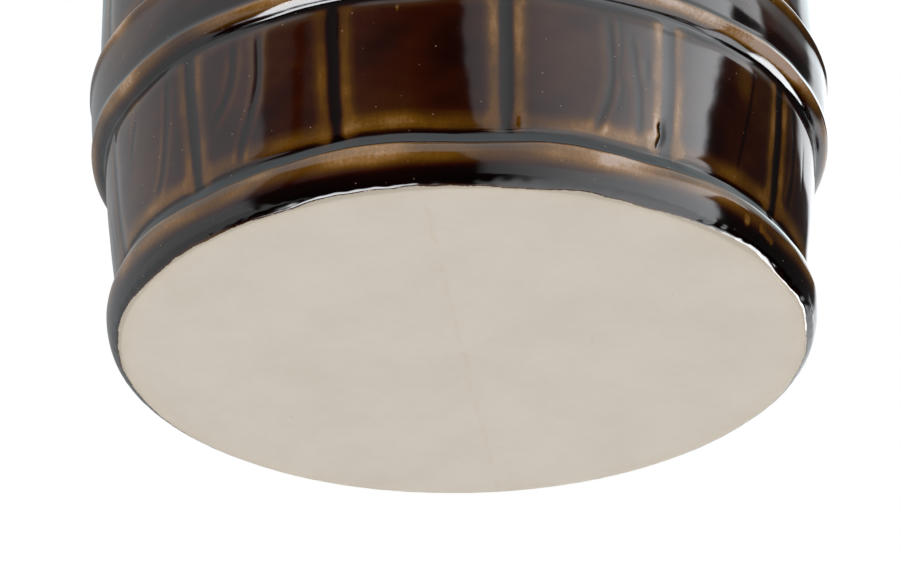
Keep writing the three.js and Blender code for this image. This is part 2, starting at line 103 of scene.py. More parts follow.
# Glaze depth: 0 is bare clay showing through, 1 is pooled and nearly black
END_HOOP_DEPTHS = [
    (0, 0.5), (0.5, 0.8), (1.4, 1), (3.2, 1), (4.1, 0.78), (4.9, 0.48), (5.6, 0.31), (6.6, 0.22),
    (7.6, 0.2), (8.6, 0.26), (9.6, 0.24), (10.3, 0.24), (10.7, 0.4), (11.1, 0.9), (11.4, 1),
    (13.8, 1), (14.15, 0.75), (14.4, 0.42), (14.8, 0.24), (16.6, 0.25), (18, 0.42), (19.4, 0.66),
]
BELLY_HOOP_DEPTHS = [
    (-5.4, 0.64), (-4.2, 0.5), (-3.2, 0.5), (-2.4, 1), (-1.3, 1), (-0.95, 0.6), (-0.5, 0.28),
    (0, 0.19), (1.6, 0.17), (2.1, 0.22), (2.6, 0.6), (3.2, 0.92), (5.6, 0.88), (7.6, 0.66),
    (10, 0.6), (12.6, 0.56), (14.6, 0.4), (15.8, 0.26), (16.8, 0.2), (17.5, 0.3), (18.2, 1),
    (20, 1), (20.8, 0.6), (21.6, 0.34), (22.6, 0.5), (24, 0.66),
]
DEPTH_BLUR = 0.25

# Grooves between staves: sharp dark line, rounded shoulders, amber bands beside it
GROOVE_LINE_DEPTH = 0.13
GROOVE_LINE_WIDTH = 2.1
GROOVE_SHOULDER_DEPTH = 0.16
GROOVE_SHOULDER_WIDTH = 4.6
GROOVE_INK_WIDTH = 1.15
GROOVE_INK = 0.85
AMBER_FROM = 0.75
AMBER_PEAK = 2.5
AMBER_TO = 6.2
AMBER_FALL = 0.42
AMBER_LEAST = 0.28
# Grooves with thinner glaze beside them, and by how much
THIN_GROOVES = {6: 0.06, 7: -0.05, 8: 0.1, 9: 0.2}

# Carved grain: (share across the stave, share up the field) of each line's points
PHOTO_GRAIN = {
    5: [[(0.8, 0.9), (0.76, 0.62), (0.68, 0.34), (0.58, 0.2)],
        [(0.44, 0.85), (0.36, 0.7), (0.3, 0.56)]],
    6: [[(0.36, 0.92), (0.34, 0.7), (0.27, 0.54), (0.14, 0.42)],
        [(0.53, 0.93), (0.52, 0.62), (0.46, 0.42), (0.38, 0.26), (0.33, 0.1)]],
    8: [[(0.59, 0.9), (0.62, 0.6), (0.61, 0.4), (0.56, 0.24), (0.52, 0.13)],
        [(0.73, 0.82), (0.77, 0.6), (0.8, 0.42), (0.81, 0.15)], [(0.84, 0.7), (0.85, 0.5)]],
    9: [],
    10: [[(0.2, 0.9), (0.24, 0.5), (0.2, 0.2)], [(0.42, 0.8), (0.44, 0.4)]],
}
PLAIN_STAVE = 7
HAIRLINES = {
    8: [(0.665, 0.94), (0.68, 0.7), (0.665, 0.55), (0.69, 0.45), (0.65, 0.26)],
    9: [(0.71, 0.92), (0.64, 0.5), (0.57, 0.2)],
}
CHIP_LINES = {
    8: [(0.962, 0.34), (0.97, 0.3), (0.95, 0.27), (0.972, 0.23), (0.955, 0.19), (0.935, 0.15),
        (0.95, 0.12)],
}
GRAIN_WIDTH = 0.82
GRAIN_DEPTH = 0.055
GRAIN_INK = 0.36
GRAIN_AMBER = 0.19
# Width, depth, ink and amber of each kind of carved line
GRAIN_CUT = (GRAIN_WIDTH, GRAIN_DEPTH, GRAIN_INK, GRAIN_AMBER)
HAIRLINE_CUT = (GRAIN_WIDTH / 2, GRAIN_DEPTH / 3, GRAIN_INK, 0)
CHIP_CUT = (0.62, 0.5, 1, 0.1)

# Small thin or bubbled places: stave, share across it, height, half width and half height,
# fall of the glaze's depth and rise of the surface
SPOTS = [
    (7, 0.389, 43.4, 0.3, 0.65, 0.5, 0.02), (8, 0.085, 16.3, 0.62, 1.5, 0.3, 0.16),
    (9, 0.6, 5, 1, 1.3, 0.8, 0.06), (9, 0.745, 5.1, 0.8, 1, 0.8, 0.06),
    (9, 0.785, 4.6, 1, 0.8, 0.8, 0.06), (9, 0.825, 4.2, 1.3, 0.9, 0.8, 0.06),
    (9, 0.865, 3.9, 1, 0.9, 0.8, 0.06), (9, 0.75, 1.25, 22, 0.55, 0, 0.22),
    (10, 0.7, 1.25, 14, 0.55, 0, 0.22), (7, 0.7, 31, 9, 11, -0.05, 0),
    (8, 0.56, 8, 3.2, 0.5, 0.2, 0), (8, 0.2, 10.3, 3.6, 0.4, 0.14, 0),
    (8, 0.72, 8.6, 24, 2.2, 0.1, 0), (6, 0.55, 8.6, 4, 0.6, 0.08, 0),
    (9, 0.6, 40, 3.2, 4.6, 0.2, 0), (9, 0.3, 23, 6, 6, -0.1, 0), (5, 0.4, 49.4, 9, 2.6, -0.1, 0),
]
SPOT_LEAST = 0.15
# Arris of the belly hoop where its glaze is thinnest, in the same way
THIN_ARRIS = [(9, 0.65, 49.6, 28, 2.2, 0.3, 0)]
THIN_ARRIS_LEAST = 0.02

# Grid of the barrel's mesh
FINE_COLUMNS = 2160
FINE_STEP = 0.2
COLUMNS = 1080

# Edge of the glaze over the bare foot, and how high its unevenness reaches
GLAZE_EDGE_HEIGHT = 0.42
GLAZE_EDGE_LIMITS = (0.12, 1.1)
EDGE_START = 0.9
EDGE_REACH = 1.7
# Roll of the glaze over the clay: height as a share of the edge's, and lift there
GLAZE_ROLL = [(1.0, 0), (1.12, 0.1), (1.4, 0.14), (1.9, 0.08)]
CLAY_SET_BACK = 0.12
# Glaze depth on the tap's pad, and its fall on the pad's arris
PAD_DEPTH = 0.6
PAD_EDGE_FALL = 0.35
NO_EDGE = -5

# Unevenness, each as wavelength and amplitude
RING_WAVES = [(34, 0.2), (10, 0.03)]
GROOVE_WAVE = (30, 0.12)
AMBER_WAVE = (14, 0.06)
STAND_WAVES = [(46, 0.07), (17, 0.012)]
FOOT_WRINKLE = (4, 0.025)
DEPTH_WAVES = [(34, 0.055), (12, 0.035)]
GLAZE_EDGE_WAVES = [(26, 0.154), (8, 0.044)]
LID_WAVE = (30, 0.04)
KNOB_WAVE = (18, 0.04)
BARREL_SEED, BOARD_SEED, LID_SEED, KNOB_SEED = 7, 31, 5, 9


def smooth(value, low, high):
    """0 below low, 1 above high, and an even S between."""
    share = np.clip((value - low) / (high - low), 0, 1)
    return share * share * (3 - 2 * share)


def even_angles(count):
    return np.arange(count) * TURN / count


def hump(value, width):
    """1 at 0 and a bell curve about it."""
    return np.exp(-(value / width) ** 2)


def blurred(values, sigma, step, axis=0, wrap=False):
    """values after a Gaussian blur of that width along one axis."""
    reach = max(1, int(3 * sigma / step))
    offsets = np.arange(-reach, reach + 1)
    weights = np.exp(-0.5 * (offsets * step / sigma) ** 2)
    weights /= weights.sum()
    pad = [(0, 0)] * values.ndim
    pad[axis] = (reach, reach)
    padded = np.pad(values, pad, mode="wrap" if wrap else "edge")
    size = values.shape[axis]
    total = 0
    for offset, weight in zip(offsets, weights):
        total = total + weight * np.take(padded, np.arange(size) + offset + reach, axis)
    return total


def read(stops, place):
    """Value at a place between (place, value) stops."""
    return np.interp(place, *np.array(stops).T)


def waves(angle, height, wavelength, amplitude, random, count=14):
    """Smooth relief without a seam: waves that fit a whole number of times round the barrel."""
    most = TURN * BELLY_RADIUS / wavelength
    total = 0
    for _ in range(count):
        around = int(random.integers(int(most * 0.3), int(most) + 1))
        up = random.normal(0, TURN / wavelength)
        total = total + np.cos(around * angle + up * height + random.uniform(0, TURN))
    return amplitude * total / math.sqrt(count / 2)


def stave_radius(height):
    reach = np.abs(height - MID_HEIGHT) / (MID_HEIGHT - END_HOOP)
    return BELLY_RADIUS - (BELLY_RADIUS - END_RADIUS) * np.minimum(reach, 1) ** BULGE_POWER


def groove_angles():
    """Angles of the grooves; stave 0 faces the tap, and the count runs anticlockwise."""
    widths = np.array(STAVE_SHARES) * TURN / sum(STAVE_SHARES)
    return -math.pi / 2 - widths[0] / 2 + np.concatenate([[0], np.cumsum(widths)])


def profile_curves(height):
    """Stand over the stave circle and glaze depth at the middle of a stave, by height."""
    folded = np.minimum(height, BODY_HEIGHT - height)
    middle = BELLY_HOOP_LOW + BELLY_HOOP_WIDTH / 2
    about = np.where(folded < middle, folded, 2 * middle - folded) - BELLY_HOOP_LOW
    stand = np.where(
        folded < END_HOOP_STANDS[-1][0],
        read(END_HOOP_STANDS, folded), read(BELLY_HOOP_STANDS, about),
    )
    low = height < MID_HEIGHT
    hoop_from = np.where(low, BELLY_HOOP_LOW, BODY_HEIGHT - BELLY_HOOP_LOW - BELLY_HOOP_WIDTH)
    depth = np.where(
        folded < END_HOOP_DEPTHS[-1][0],
        read(END_HOOP_DEPTHS, folded), read(BELLY_HOOP_DEPTHS, height - hoop_from),
    )
    return stand, depth


def field_limits():
    """Lowest and highest height of each ring of staves."""
    hoop_high = BELLY_HOOP_LOW + BELLY_HOOP_WIDTH
    return [
        (END_HOOP, BELLY_HOOP_LOW),
        (hoop_high, BODY_HEIGHT - hoop_high),
        (BODY_HEIGHT - BELLY_HOOP_LOW, BODY_HEIGHT - END_HOOP),
    ]


def curve_through(points, steps=8):
    """Points along a smooth curve through the given ones."""
    points = np.array(points, float)
    ends = np.vstack([2 * points[0] - points[1], points, 2 * points[-1] - points[-2]])
    found = []
    for a, b, c, d in zip(ends, ends[1:], ends[2:], ends[3:]):
        for t in np.arange(steps) / steps:
            found.append(0.5 * (
                2 * b + (c - a) * t + (2 * a - 5 * b + 4 * c - d) * t ** 2
                + (3 * b - a - 3 * c + d) * t ** 3
            ))
    found.append(points[-1])
    return np.array(found)


class Relief:
    """Fine map of the barrel's outside: stand over the stave circle and glaze depth."""

    def __init__(self, random):
        self.angle = even_angles(FINE_COLUMNS)[None, :]
        self.height = np.linspace(0, BODY_HEIGHT, int(BODY_HEIGHT / FINE_STEP) + 1)[:, None]
        stand, depth = profile_curves(self.height[:, 0])
        stand = blurred(stand, STAND_BLUR, FINE_STEP)
        depth = blurred(depth, DEPTH_BLUR, FINE_STEP)
        folded = np.minimum(self.height, BODY_HEIGHT - self.height)
        swing = sum(self.waves(wave, random) for wave in RING_WAVES)
        self.swing = swing * smooth(folded, 2, 6)
        swing = self.height + self.swing
        self.stand = np.interp(swing, self.height[:, 0], stand)
        self.depth = np.interp(swing, self.height[:, 0], depth)
        self.grooves = groove_angles()

    def waves(self, wave, random):
        return waves(self.angle, self.height, *wave, random)

    def field_mask(self):
        """1 on the staves, 0 on the hoops, soft over the ends of the staves."""
        mask = np.zeros_like(self.height)
        for low, high in field_limits():
            inside = np.minimum(self.height - low, high - self.height)
            mask = np.maximum(mask, smooth(inside, 1.5, 4.5))
        return mask

    def cut_grooves(self, random):
        mask = self.field_mask()
        wobble = self.waves(GROOVE_WAVE, random)
        nearest = np.full(self.stand.shape, BODY_HEIGHT)
        least = np.full(self.stand.shape, AMBER_LEAST)
        for number, groove in enumerate(self.grooves[:-1]):
            gap = (self.angle - groove + math.pi) % TURN - math.pi
            away = np.abs(gap * BELLY_RADIUS + wobble)
            least = np.where(away < nearest, AMBER_LEAST - THIN_GROOVES.get(number, 0), least)
            nearest = np.minimum(nearest, away)
        dip = GROOVE_LINE_DEPTH * hump(nearest, GROOVE_LINE_WIDTH)
        dip += GROOVE_SHOULDER_DEPTH * hump(nearest, GROOVE_SHOULDER_WIDTH)
        self.stand -= dip * mask
        patchy = 1 + self.waves(AMBER_WAVE, random)
        amber = smooth(nearest, AMBER_FROM, AMBER_PEAK)
        amber = amber * (1 - smooth(nearest, AMBER_PEAK, AMBER_TO))
        ink = GROOVE_INK * hump(nearest, GROOVE_INK_WIDTH)
        fall = AMBER_FALL + AMBER_LEAST - least
        least = np.minimum(self.depth, least)
        self.depth = np.maximum(self.depth - fall * patchy * amber * mask, least) + ink * mask

    def carve(self, points, width, depth, ink, amber):
        """Carves one line through (angle, height) points, fading at both ends."""
        curve = curve_through(points)
        lengths = np.concatenate([[0], np.cumsum(np.hypot(
            np.diff(curve[:, 0]) * BELLY_RADIUS, np.diff(curve[:, 1]),
        ))])
        reach = 4 * width
        low, high = curve[:, 1].min() - reach, curve[:, 1].max() + reach
        rows = np.nonzero((self.height[:, 0] > low) & (self.height[:, 0] < high))[0]
        start = curve[:, 0].min() - reach / BELLY_RADIUS
        stop = curve[:, 0].max() + reach / BELLY_RADIUS
        step = TURN / FINE_COLUMNS
        columns = np.arange(math.floor(start / step), math.ceil(stop / step) + 1)
        x = columns[None, :] * step * BELLY_RADIUS
        y = self.height[rows]
        best = np.full((len(rows), len(columns)), reach * 9.0)
        along = np.zeros_like(best)
        for i in range(len(curve) - 1):
            ax, ay = curve[i, 0] * BELLY_RADIUS, curve[i, 1]
            bx, by = curve[i + 1, 0] * BELLY_RADIUS, curve[i + 1, 1]
            span = max((bx - ax) ** 2 + (by - ay) ** 2, 1e-9)
            t = np.clip(((x - ax) * (bx - ax) + (y - ay) * (by - ay)) / span, 0, 1)
            gap = np.hypot(x - ax - t * (bx - ax), y - ay - t * (by - ay))
            closer = gap < best
            best = np.where(closer, gap, best)
            along = np.where(closer, lengths[i] + t * (lengths[i + 1] - lengths[i]), along)
        fade = smooth(np.minimum(along, lengths[-1] - along), 0, min(4, lengths[-1] / 3))
        line = hump(best, width) * fade
        beside = hump(best - 2.3 * width, width) * fade
        cells = np.ix_(rows, columns % FINE_COLUMNS)
        self.stand[cells] -= depth * line
        self.depth[cells] += ink * line - amber * beside

    def place(self, stave, field, points):
        """(angle, height) of points given as shares of a stave's width and a field's height."""
        low, high = field_limits()[field]
        left, right = self.grooves[stave], self.grooves[stave + 1]
        return [(left + (right - left) * across, low + (high - low) * up) for across, up in points]

    def carve_grain(self, random):
        for stave in range(len(STAVE_SHARES)):
            for field in range(3):
                if field == 0 and stave in PHOTO_GRAIN:
                    lines = PHOTO_GRAIN[stave]
                elif field == 0 and stave == PLAIN_STAVE:
                    lines = []
                else:
                    lines = chosen_grain(random, field)
                for line in lines:
                    self.carve(self.place(stave, field, line), *GRAIN_CUT)
        for cut, lines in ((HAIRLINE_CUT, HAIRLINES), (CHIP_CUT, CHIP_LINES)):
            for stave, line in lines.items():
                self.carve(self.place(stave, 0, line), *cut)

    def add_spots(self, spots, least):
        """Thins and lifts the glaze at each spot, down to the least depth."""
        for stave, across, height, half_width, half_height, fall, rise in spots:
            left, right = self.grooves[stave], self.grooves[stave + 1]
            angle = left + (right - left) * across
            aside = ((self.angle - angle + math.pi) % TURN - math.pi) * BELLY_RADIUS
            away = np.hypot(aside / half_width, (self.height - height) / half_height)
            shape = np.exp(-away ** 4)
            floor = np.minimum(self.depth, least)
            self.depth = np.maximum(self.depth - fall * shape, floor)
            self.stand += rise * shape

    def add_waves(self, random):
        for wave in STAND_WAVES:
            self.stand += self.waves(wave, random)
        self.stand += self.waves(FOOT_WRINKLE, random) * (1 - smooth(self.height, 1, 2.6))
        for wave in DEPTH_WAVES:
            self.depth += self.waves(wave, random)

    def at(self, angle, height, grids=None):
        """(stand, depth) at angles and heights, between the map's cells."""
        column = (angle % TURN) / TURN * FINE_COLUMNS
        row = np.clip(height / FINE_STEP, 0, len(self.height) - 1.001)
        c0, r0 = np.floor(column).astype(int), np.floor(row).astype(int)
        ct, rt = column - c0, row - r0
        c0, c1 = c0 % FINE_COLUMNS, (c0 + 1) % FINE_COLUMNS
        found = []
        for grid in grids or (self.stand, self.depth):
            low = grid[r0, c0] * (1 - ct) + grid[r0, c1] * ct
            high = grid[r0 + 1, c0] * (1 - ct) + grid[r0 + 1, c1] * ct
            found.append(low * (1 - rt) + high * rt)
        return found


def chosen_grain(random, field):
    """Two or three carved lines for a stave that the photograph doesn't show."""
    lines = []
    count = int(random.integers(2, 4)) + (field == 1)
    places = (np.arange(count) + random.uniform(0.3, 0.7, count)) / count
    for place in places:
        across = 0.16 + 0.68 * place
        low = random.uniform(0.1, 0.35)
        high = random.uniform(0.6, 0.92)
        lean = random.uniform(-0.1, 0.1)
        bow = random.uniform(-0.06, 0.06)
        shares = np.linspace(0, 1, 5)
        lines.append([
            (float(across + lean * (s - 0.5) + bow * math.sin(math.pi * s * 1.4)),
             float(low + (high - low) * s))
            for s in shares
        ])
    return lines


def spaced(*parts):
    """Heights from (from, to, step) parts, each even and without its end."""
    found = []
    for low, high, step in parts:
        count = max(1, round((high - low) / step))
        found += list(low + (high - low) * np.arange(count) / count)
    return found


def outside_heights():
    """Heights of the mesh's rings on the outside, closer where the profile turns."""
    hoop_high = BELLY_HOOP_LOW + BELLY_HOOP_WIDTH
    low = BELLY_HOOP_LOW
    lower = spaced(
        (EDGE_START, 2.4, 0.22), (2.4, 8, 0.5), (8, 10.4, 0.27), (10.4, 11.6, 0.15),
        (11.6, 13.8, 0.27), (13.8, 14.8, 0.12), (14.8, 43.5, 1.1), (43.5, low - 1.8, 0.27),
        (low - 1.8, low - 0.4, 0.1), (low - 0.4, low + 4, 0.22), (low + 4, hoop_high - 4, 0.75),
        (hoop_high - 4, hoop_high + 5, 0.27), (hoop_high + 5, MID_HEIGHT, 1.2),
    )
    upper = [BODY_HEIGHT - height for height in reversed(lower)]
    return np.array(lower + [MID_HEIGHT] + upper)


def with_pad(angle, radius, height, face, pad_radius, flare):
    """Radius with the tap's round flat pad blended in, and the pad's share of it."""
    toward = -np.sin(angle)
    gap = np.hypot(radius * np.cos(angle), height - TAP_HEIGHT)
    pad = (1 - smooth(gap, pad_radius, pad_radius + flare)) * (toward > 0)
    return radius * (1 - pad) + face / np.maximum(toward, 0.5) * pad, pad


def ring_list(columns):
    """Angles of the columns, a list for (radius, height, depth, bare) rings, and its filler."""
    rows = []

    def add(radius, height, depth, bare=NO_EDGE):
        rows.append([np.ones(columns) * value for value in (radius, height, depth, bare)])
    return even_angles(columns), rows, add


def barrel_rows(relief, random):
    """Rings of the body, from foot centre to floor centre."""
    angle, rows, add = ring_list(COLUMNS)
    first = END_RADIUS + END_HOOP_STANDS[0][1]
    for share in (0, 0.1, 0.25, 0.45, 0.65, 0.82, 0.93, 0.98):
        add((first - 0.5) * share, 0, 0.3, 1 + (1 - share) * first)
    edge = GLAZE_EDGE_HEIGHT
    for wave in GLAZE_EDGE_WAVES:
        edge = edge + waves(angle, 0, *wave, random)
    edge = np.clip(edge, *GLAZE_EDGE_LIMITS)
    for share in (0, 0.35, 0.7, 0.9):
        height = edge * share
        stand, _ = relief.at(angle, height)
        add(END_RADIUS + stand - CLAY_SET_BACK, height, 0.3, edge - height)
    for share, lift in GLAZE_ROLL:
        height = edge * share
        stand, depth = relief.at(angle, height)
        add(END_RADIUS + stand + lift - CLAY_SET_BACK / 2, height, depth, edge - height)
    for height in outside_heights():
        lift = (edge * 1.9 - 0.8) * (1 - smooth(height, EDGE_START, EDGE_REACH))
        swing, = relief.at(angle, np.full(COLUMNS, height), (relief.swing,))
        height_there = height + lift - swing
        stand, depth = relief.at(angle, height_there)
        radius = stave_radius(height_there) + stand
        radius, pad = with_pad(angle, radius, height_there, PAD_FACE, PAD_RADIUS, PAD_FLARE)
        on_edge = 4 * pad * (1 - pad)
        depth = depth * (1 - pad) + PAD_DEPTH * pad - PAD_EDGE_FALL * on_edge
        add(np.minimum(radius, WIDEST), height_there, depth)
    add_mouth(add, angle)
    return angle, np.array(rows)


def add_mouth(add, angle):
    """Rim, mouth, gallery, inner wall and floor."""
    rim = END_RADIUS - RIM_WIDTH
    gallery = rim - GALLERY_WIDTH
    top = BODY_HEIGHT
    outer = END_RADIUS + END_HOOP_STANDS[0][1]
    for radius, height, depth in (
        (outer + 0.5, top - 0.62, 0.3), (outer + 0.1, top - 0.2, 0.22), (outer - 0.5, top, 0.2),
        (outer - 1.6, top, 0.45), (rim + 1.8, top, 0.5), (rim + 0.8, top, 0.3),
        (rim + 0.25, top - 0.2, 0.22), (rim, top - 0.7, 0.35), (rim, top - 2.5, 0.6),
        (rim, LID_SEAT + 2, 0.8), (rim, LID_SEAT + 0.5, 0.9), (rim - 0.15, LID_SEAT + 0.12, 1),
        (rim - 0.6, LID_SEAT, 1), (rim - 3, LID_SEAT, 0.8), (gallery + 2, LID_SEAT, 0.5),
        (gallery + 0.9, LID_SEAT - 0.2, 0.3), (gallery + 0.25, LID_SEAT - 0.8, 0.25),
        (gallery, LID_SEAT - 1.6, 0.4),
        (gallery, LID_SEAT - GALLERY_THICKNESS + 0.7, 0.5),
        (gallery + 0.25, LID_SEAT - GALLERY_THICKNESS, 0.4),
    ):
        add(radius, height, depth)
    shoulder = LID_SEAT - GALLERY_THICKNESS - GALLERY_WIDTH
    corner = stave_radius(np.array(float(FLOOR))) - WALL
    heights = spaced(
        (shoulder, TAP_HEIGHT + 20, -4), (TAP_HEIGHT + 20, TAP_HEIGHT - 20, -0.8),
        (TAP_HEIGHT - 20, FLOOR + FLOOR_FILLET, -4),
    )
    for height in heights:
        radius = stave_radius(np.array(float(height))) - WALL
        radius, pad = with_pad(angle, radius, height, INNER_PAD_FACE, INNER_PAD_RADIUS - 1, 1.5)
        add(radius, height, 0.5 - 0.15 * pad)
    for turn in np.linspace(math.pi / 2, 0, 7):
        add(
            corner - FLOOR_FILLET * (1 - math.sin(turn)),
            FLOOR + FLOOR_FILLET * (1 - math.cos(turn)), 0.8,
        )
    for share in (0.8, 0.55, 0.3, 0.12, 0):
        add((corner - FLOOR_FILLET) * share, FLOOR, 0.7)


def mesh_piece(name, points, faces, material, uvs=None, values=None):
    """A smooth mesh object from points in millimetres and faces; a corner of -1 is left out."""
    mesh = bpy.data.meshes.new(name)
    mesh.vertices.add(len(points))
    mesh.vertices.foreach_set("co", (np.asarray(points) * MM).astype(np.float32).ravel())
    kept = faces.ravel() >= 0
    sizes = (faces >= 0).sum(1)
    mesh.loops.add(kept.sum())
    mesh.loops.foreach_set("vertex_index", faces.ravel()[kept].astype(np.int32))
    mesh.polygons.add(len(sizes))
    starts = np.concatenate([[0], np.cumsum(sizes)[:-1]])
    mesh.polygons.foreach_set("loop_start", starts.astype(np.int32))
    mesh.polygons.foreach_set("use_smooth", np.ones(len(sizes), bool))
    if uvs is not None:
        layer = mesh.uv_layers.new(name="OFBake")
        layer.uv.foreach_set("vector", uvs.reshape(-1, 2)[kept].astype(np.float32).ravel())
    for key, numbers in (values or {}).items():
        attribute = mesh.attributes.new(key, "FLOAT", "POINT")
        attribute.data.foreach_set("value", np.asarray(numbers, np.float32))
    mesh.update(calc_edges=True)
    mesh.validate()
    mesh.materials.append(material)
    piece = bpy.data.objects.new(name, mesh)
    bpy.context.scene.collection.objects.link(piece)
    return piece


def without_poles(grid):
    """The grid as a list whose first and last rows count as one point."""
    return np.concatenate([grid[0, :1], grid[1:-1].reshape(-1, *grid.shape[2:]), grid[-1, :1]])


def shell(grid):
    """Points and corners of a closed shell from rings of points that start and end on an axis."""
    points = without_poles(grid)
    rings, columns = grid.shape[0] - 2, grid.shape[1]
    index = np.arange(rings * columns).reshape(rings, columns) + 1
    after = np.roll(index, -1, 1)
    quads = np.stack([index[:-1], after[:-1], after[1:], index[1:]], -1).reshape(-1, 4)
    none = np.full(columns, -1)
    start = np.stack([0 * none, after[0], index[0], none], -1)
    end = np.stack([0 * none + len(points) - 1, index[-1], after[-1], none], -1)
    return points, np.vstack([start, quads, end])


def ring_mesh(name, angle, rows, material):
    """Glazed piece from (radius, height, depth, bare) rings whose first and last have no radius."""
    radius, height, depth, bare = np.moveaxis(rows, 1, 0)
    points, faces = shell(np.stack([radius * np.cos(angle), radius * np.sin(angle), height], -1))
    steps = np.hypot(np.diff(radius, axis=0), np.diff(height, axis=0)).mean(1)
    v = np.concatenate([[0], np.cumsum(steps)])
    columns = len(angle)
    uv = np.stack(np.meshgrid(np.arange(columns + 1) / columns, v / v[-1]), -1)
    left, right = uv[:, :-1], uv[:, 1:]
    poles = (left + right) / 2
    quads = np.stack([left[1:-2], right[1:-2], right[2:-1], left[2:-1]], 2).reshape(-1, 4, 2)
    start = np.stack([poles[0], right[1], left[1], poles[0]], 1)
    end = np.stack([poles[-1], left[-2], right[-2], poles[-1]], 1)
    values = {"glaze_depth": without_poles(depth), "bare": without_poles(bare)}
    return mesh_piece(name, points, faces, material, np.vstack([start, quads, end]), values)


class Nodes:
    """Short way to build a node tree."""

    def __init__(self, tree):
        self.tree = tree
        tree.nodes.clear()

    def add(self, kind, inputs=None, **settings):
        node = self.tree.nodes.new(kind)
        for key, value in settings.items():
            setattr(node, key, value)
        for key, value in (inputs or {}).items():
            self.put(node.inputs[key], value)
        return node

    def put(self, socket, value):
        if isinstance(value, bpy.types.NodeSocket):
            self.tree.links.new(value, socket)
        elif isinstance(value, bpy.types.Node):
            self.tree.links.new(value.outputs[0], socket)
        else:
            socket.default_value = value

    def math(self, operation, a, b=0.0, c=0.0):
        return self.add("ShaderNodeMath", {0: a, 1: b, 2: c}, operation=operation).outputs[0]

    def times(self, a, b):
        return self.math("MULTIPLY", a, b)

    def times_plus(self, a, b, c):
        return self.math("MULTIPLY_ADD", a, b, c)

    def minus(self, a, b):
        return self.math("SUBTRACT", a, b)

    def random_cells(self, vector, size_mm, low, high):
        """Dots in cells of about that size, and a random number for each cell."""
        cells = self.add("ShaderNodeTexVoronoi", {"Vector": vector, "Scale": 1 / (size_mm * MM)})
        chance = self.add("ShaderNodeSeparateColor", {0: cells.outputs["Color"]}).outputs[0]
        return self.step(cells.outputs["Distance"], high, low), chance

    def glow(self, strength, colour=(1, 1, 1, 1)):
        return self.add("ShaderNodeBackground", {"Color": colour, "Strength": strength})

    def dot(self, a, b):
        node = self.add("ShaderNodeVectorMath", {0: a, 1: b}, operation="DOT_PRODUCT")
        return node.outputs["Value"]

    def surface(self, colour, roughness, normal, **others):
        shader = self.add("ShaderNodeBsdfPrincipled", {
            "Base Color": colour, "Roughness": roughness, "Normal": normal, **others,
        })
        self.add("ShaderNodeOutputMaterial", {"Surface": shader})

    def ramp(self, factor, stops):
        node = self.add("ShaderNodeValToRGB", {0: factor})
        elements = node.color_ramp.elements
        while len(elements) > 1:
            elements.remove(elements[-1])
        elements[0].position = stops[0][0]
        elements[0].color = (*stops[0][1], 1)
        for place, color in stops[1:]:
            elements.new(place).color = (*color, 1)
        return node.outputs[0]

    def step(self, value, low, high, to_low=0.0, to_high=1.0):
        """to_low below low, to_high above high, and an even S between."""
        node = self.add("ShaderNodeMapRange", {
            "Value": value, "From Min": low, "From Max": high, "To Min": to_low, "To Max": to_high,
        }, interpolation_type="SMOOTHSTEP")
        return node.outputs[0]

    def noise(self, vector, size_mm, detail=2.0, roughness=0.5, stretch=(1, 1, 1)):
        """Noise from 0 to 1 with features of about that size."""
        scaled = self.add("ShaderNodeVectorMath", {0: vector, 1: stretch}, operation="MULTIPLY")
        node = self.add("ShaderNodeTexNoise", {
            "Vector": scaled, "Scale": 1 / (size_mm * MM), "Detail": detail, "Roughness": roughness,
        })
        return node.outputs[0]

    def mix(self, factor, a, b):
        node = self.add("ShaderNodeMix", {0: factor, 6: a, 7: b}, data_type="RGBA")
        return node.outputs[2]

    def bump(self, height, distance_mm, strength):
        inputs = {"Height": height, "Distance": distance_mm * MM, "Strength": strength}
        return self.add("ShaderNodeBump", inputs)


def new_material(name):
    """A material with its nodes and its place on the piece."""
    material = bpy.data.materials.new(name)
    material.use_nodes = True
    n = Nodes(material.node_tree)
    return material, n, n.add("ShaderNodeTexCoord").outputs["Object"]


GLAZE_STOPS = [
    (0.0, (0.5, 0.36, 0.28)), (0.04, (0.4, 0.24, 0.13)), (0.1, (0.27, 0.13, 0.035)),
    (0.22, (0.14, 0.056, 0.003)), (0.3, (0.1, 0.037, 0.002)),
    (0.4, (0.064, 0.021, 0.0012)), (0.6, (0.036, 0.0052, 0.0008)), (0.8, (0.014, 0.002, 0.0007)),
    (1.0, (0.007, 0.0018, 0.0013)),
]
CLAY_LIGHT = (0.615, 0.56, 0.486, 1)
CLAY_DARK = (0.573, 0.513, 0.437, 1)
CLAY_STAIN = (0.5, 0.36, 0.2, 1)
CLAY_WARM = (0.62, 0.47, 0.26, 1)
CLAY_PIT = (0.2, 0.14, 0.09, 1)


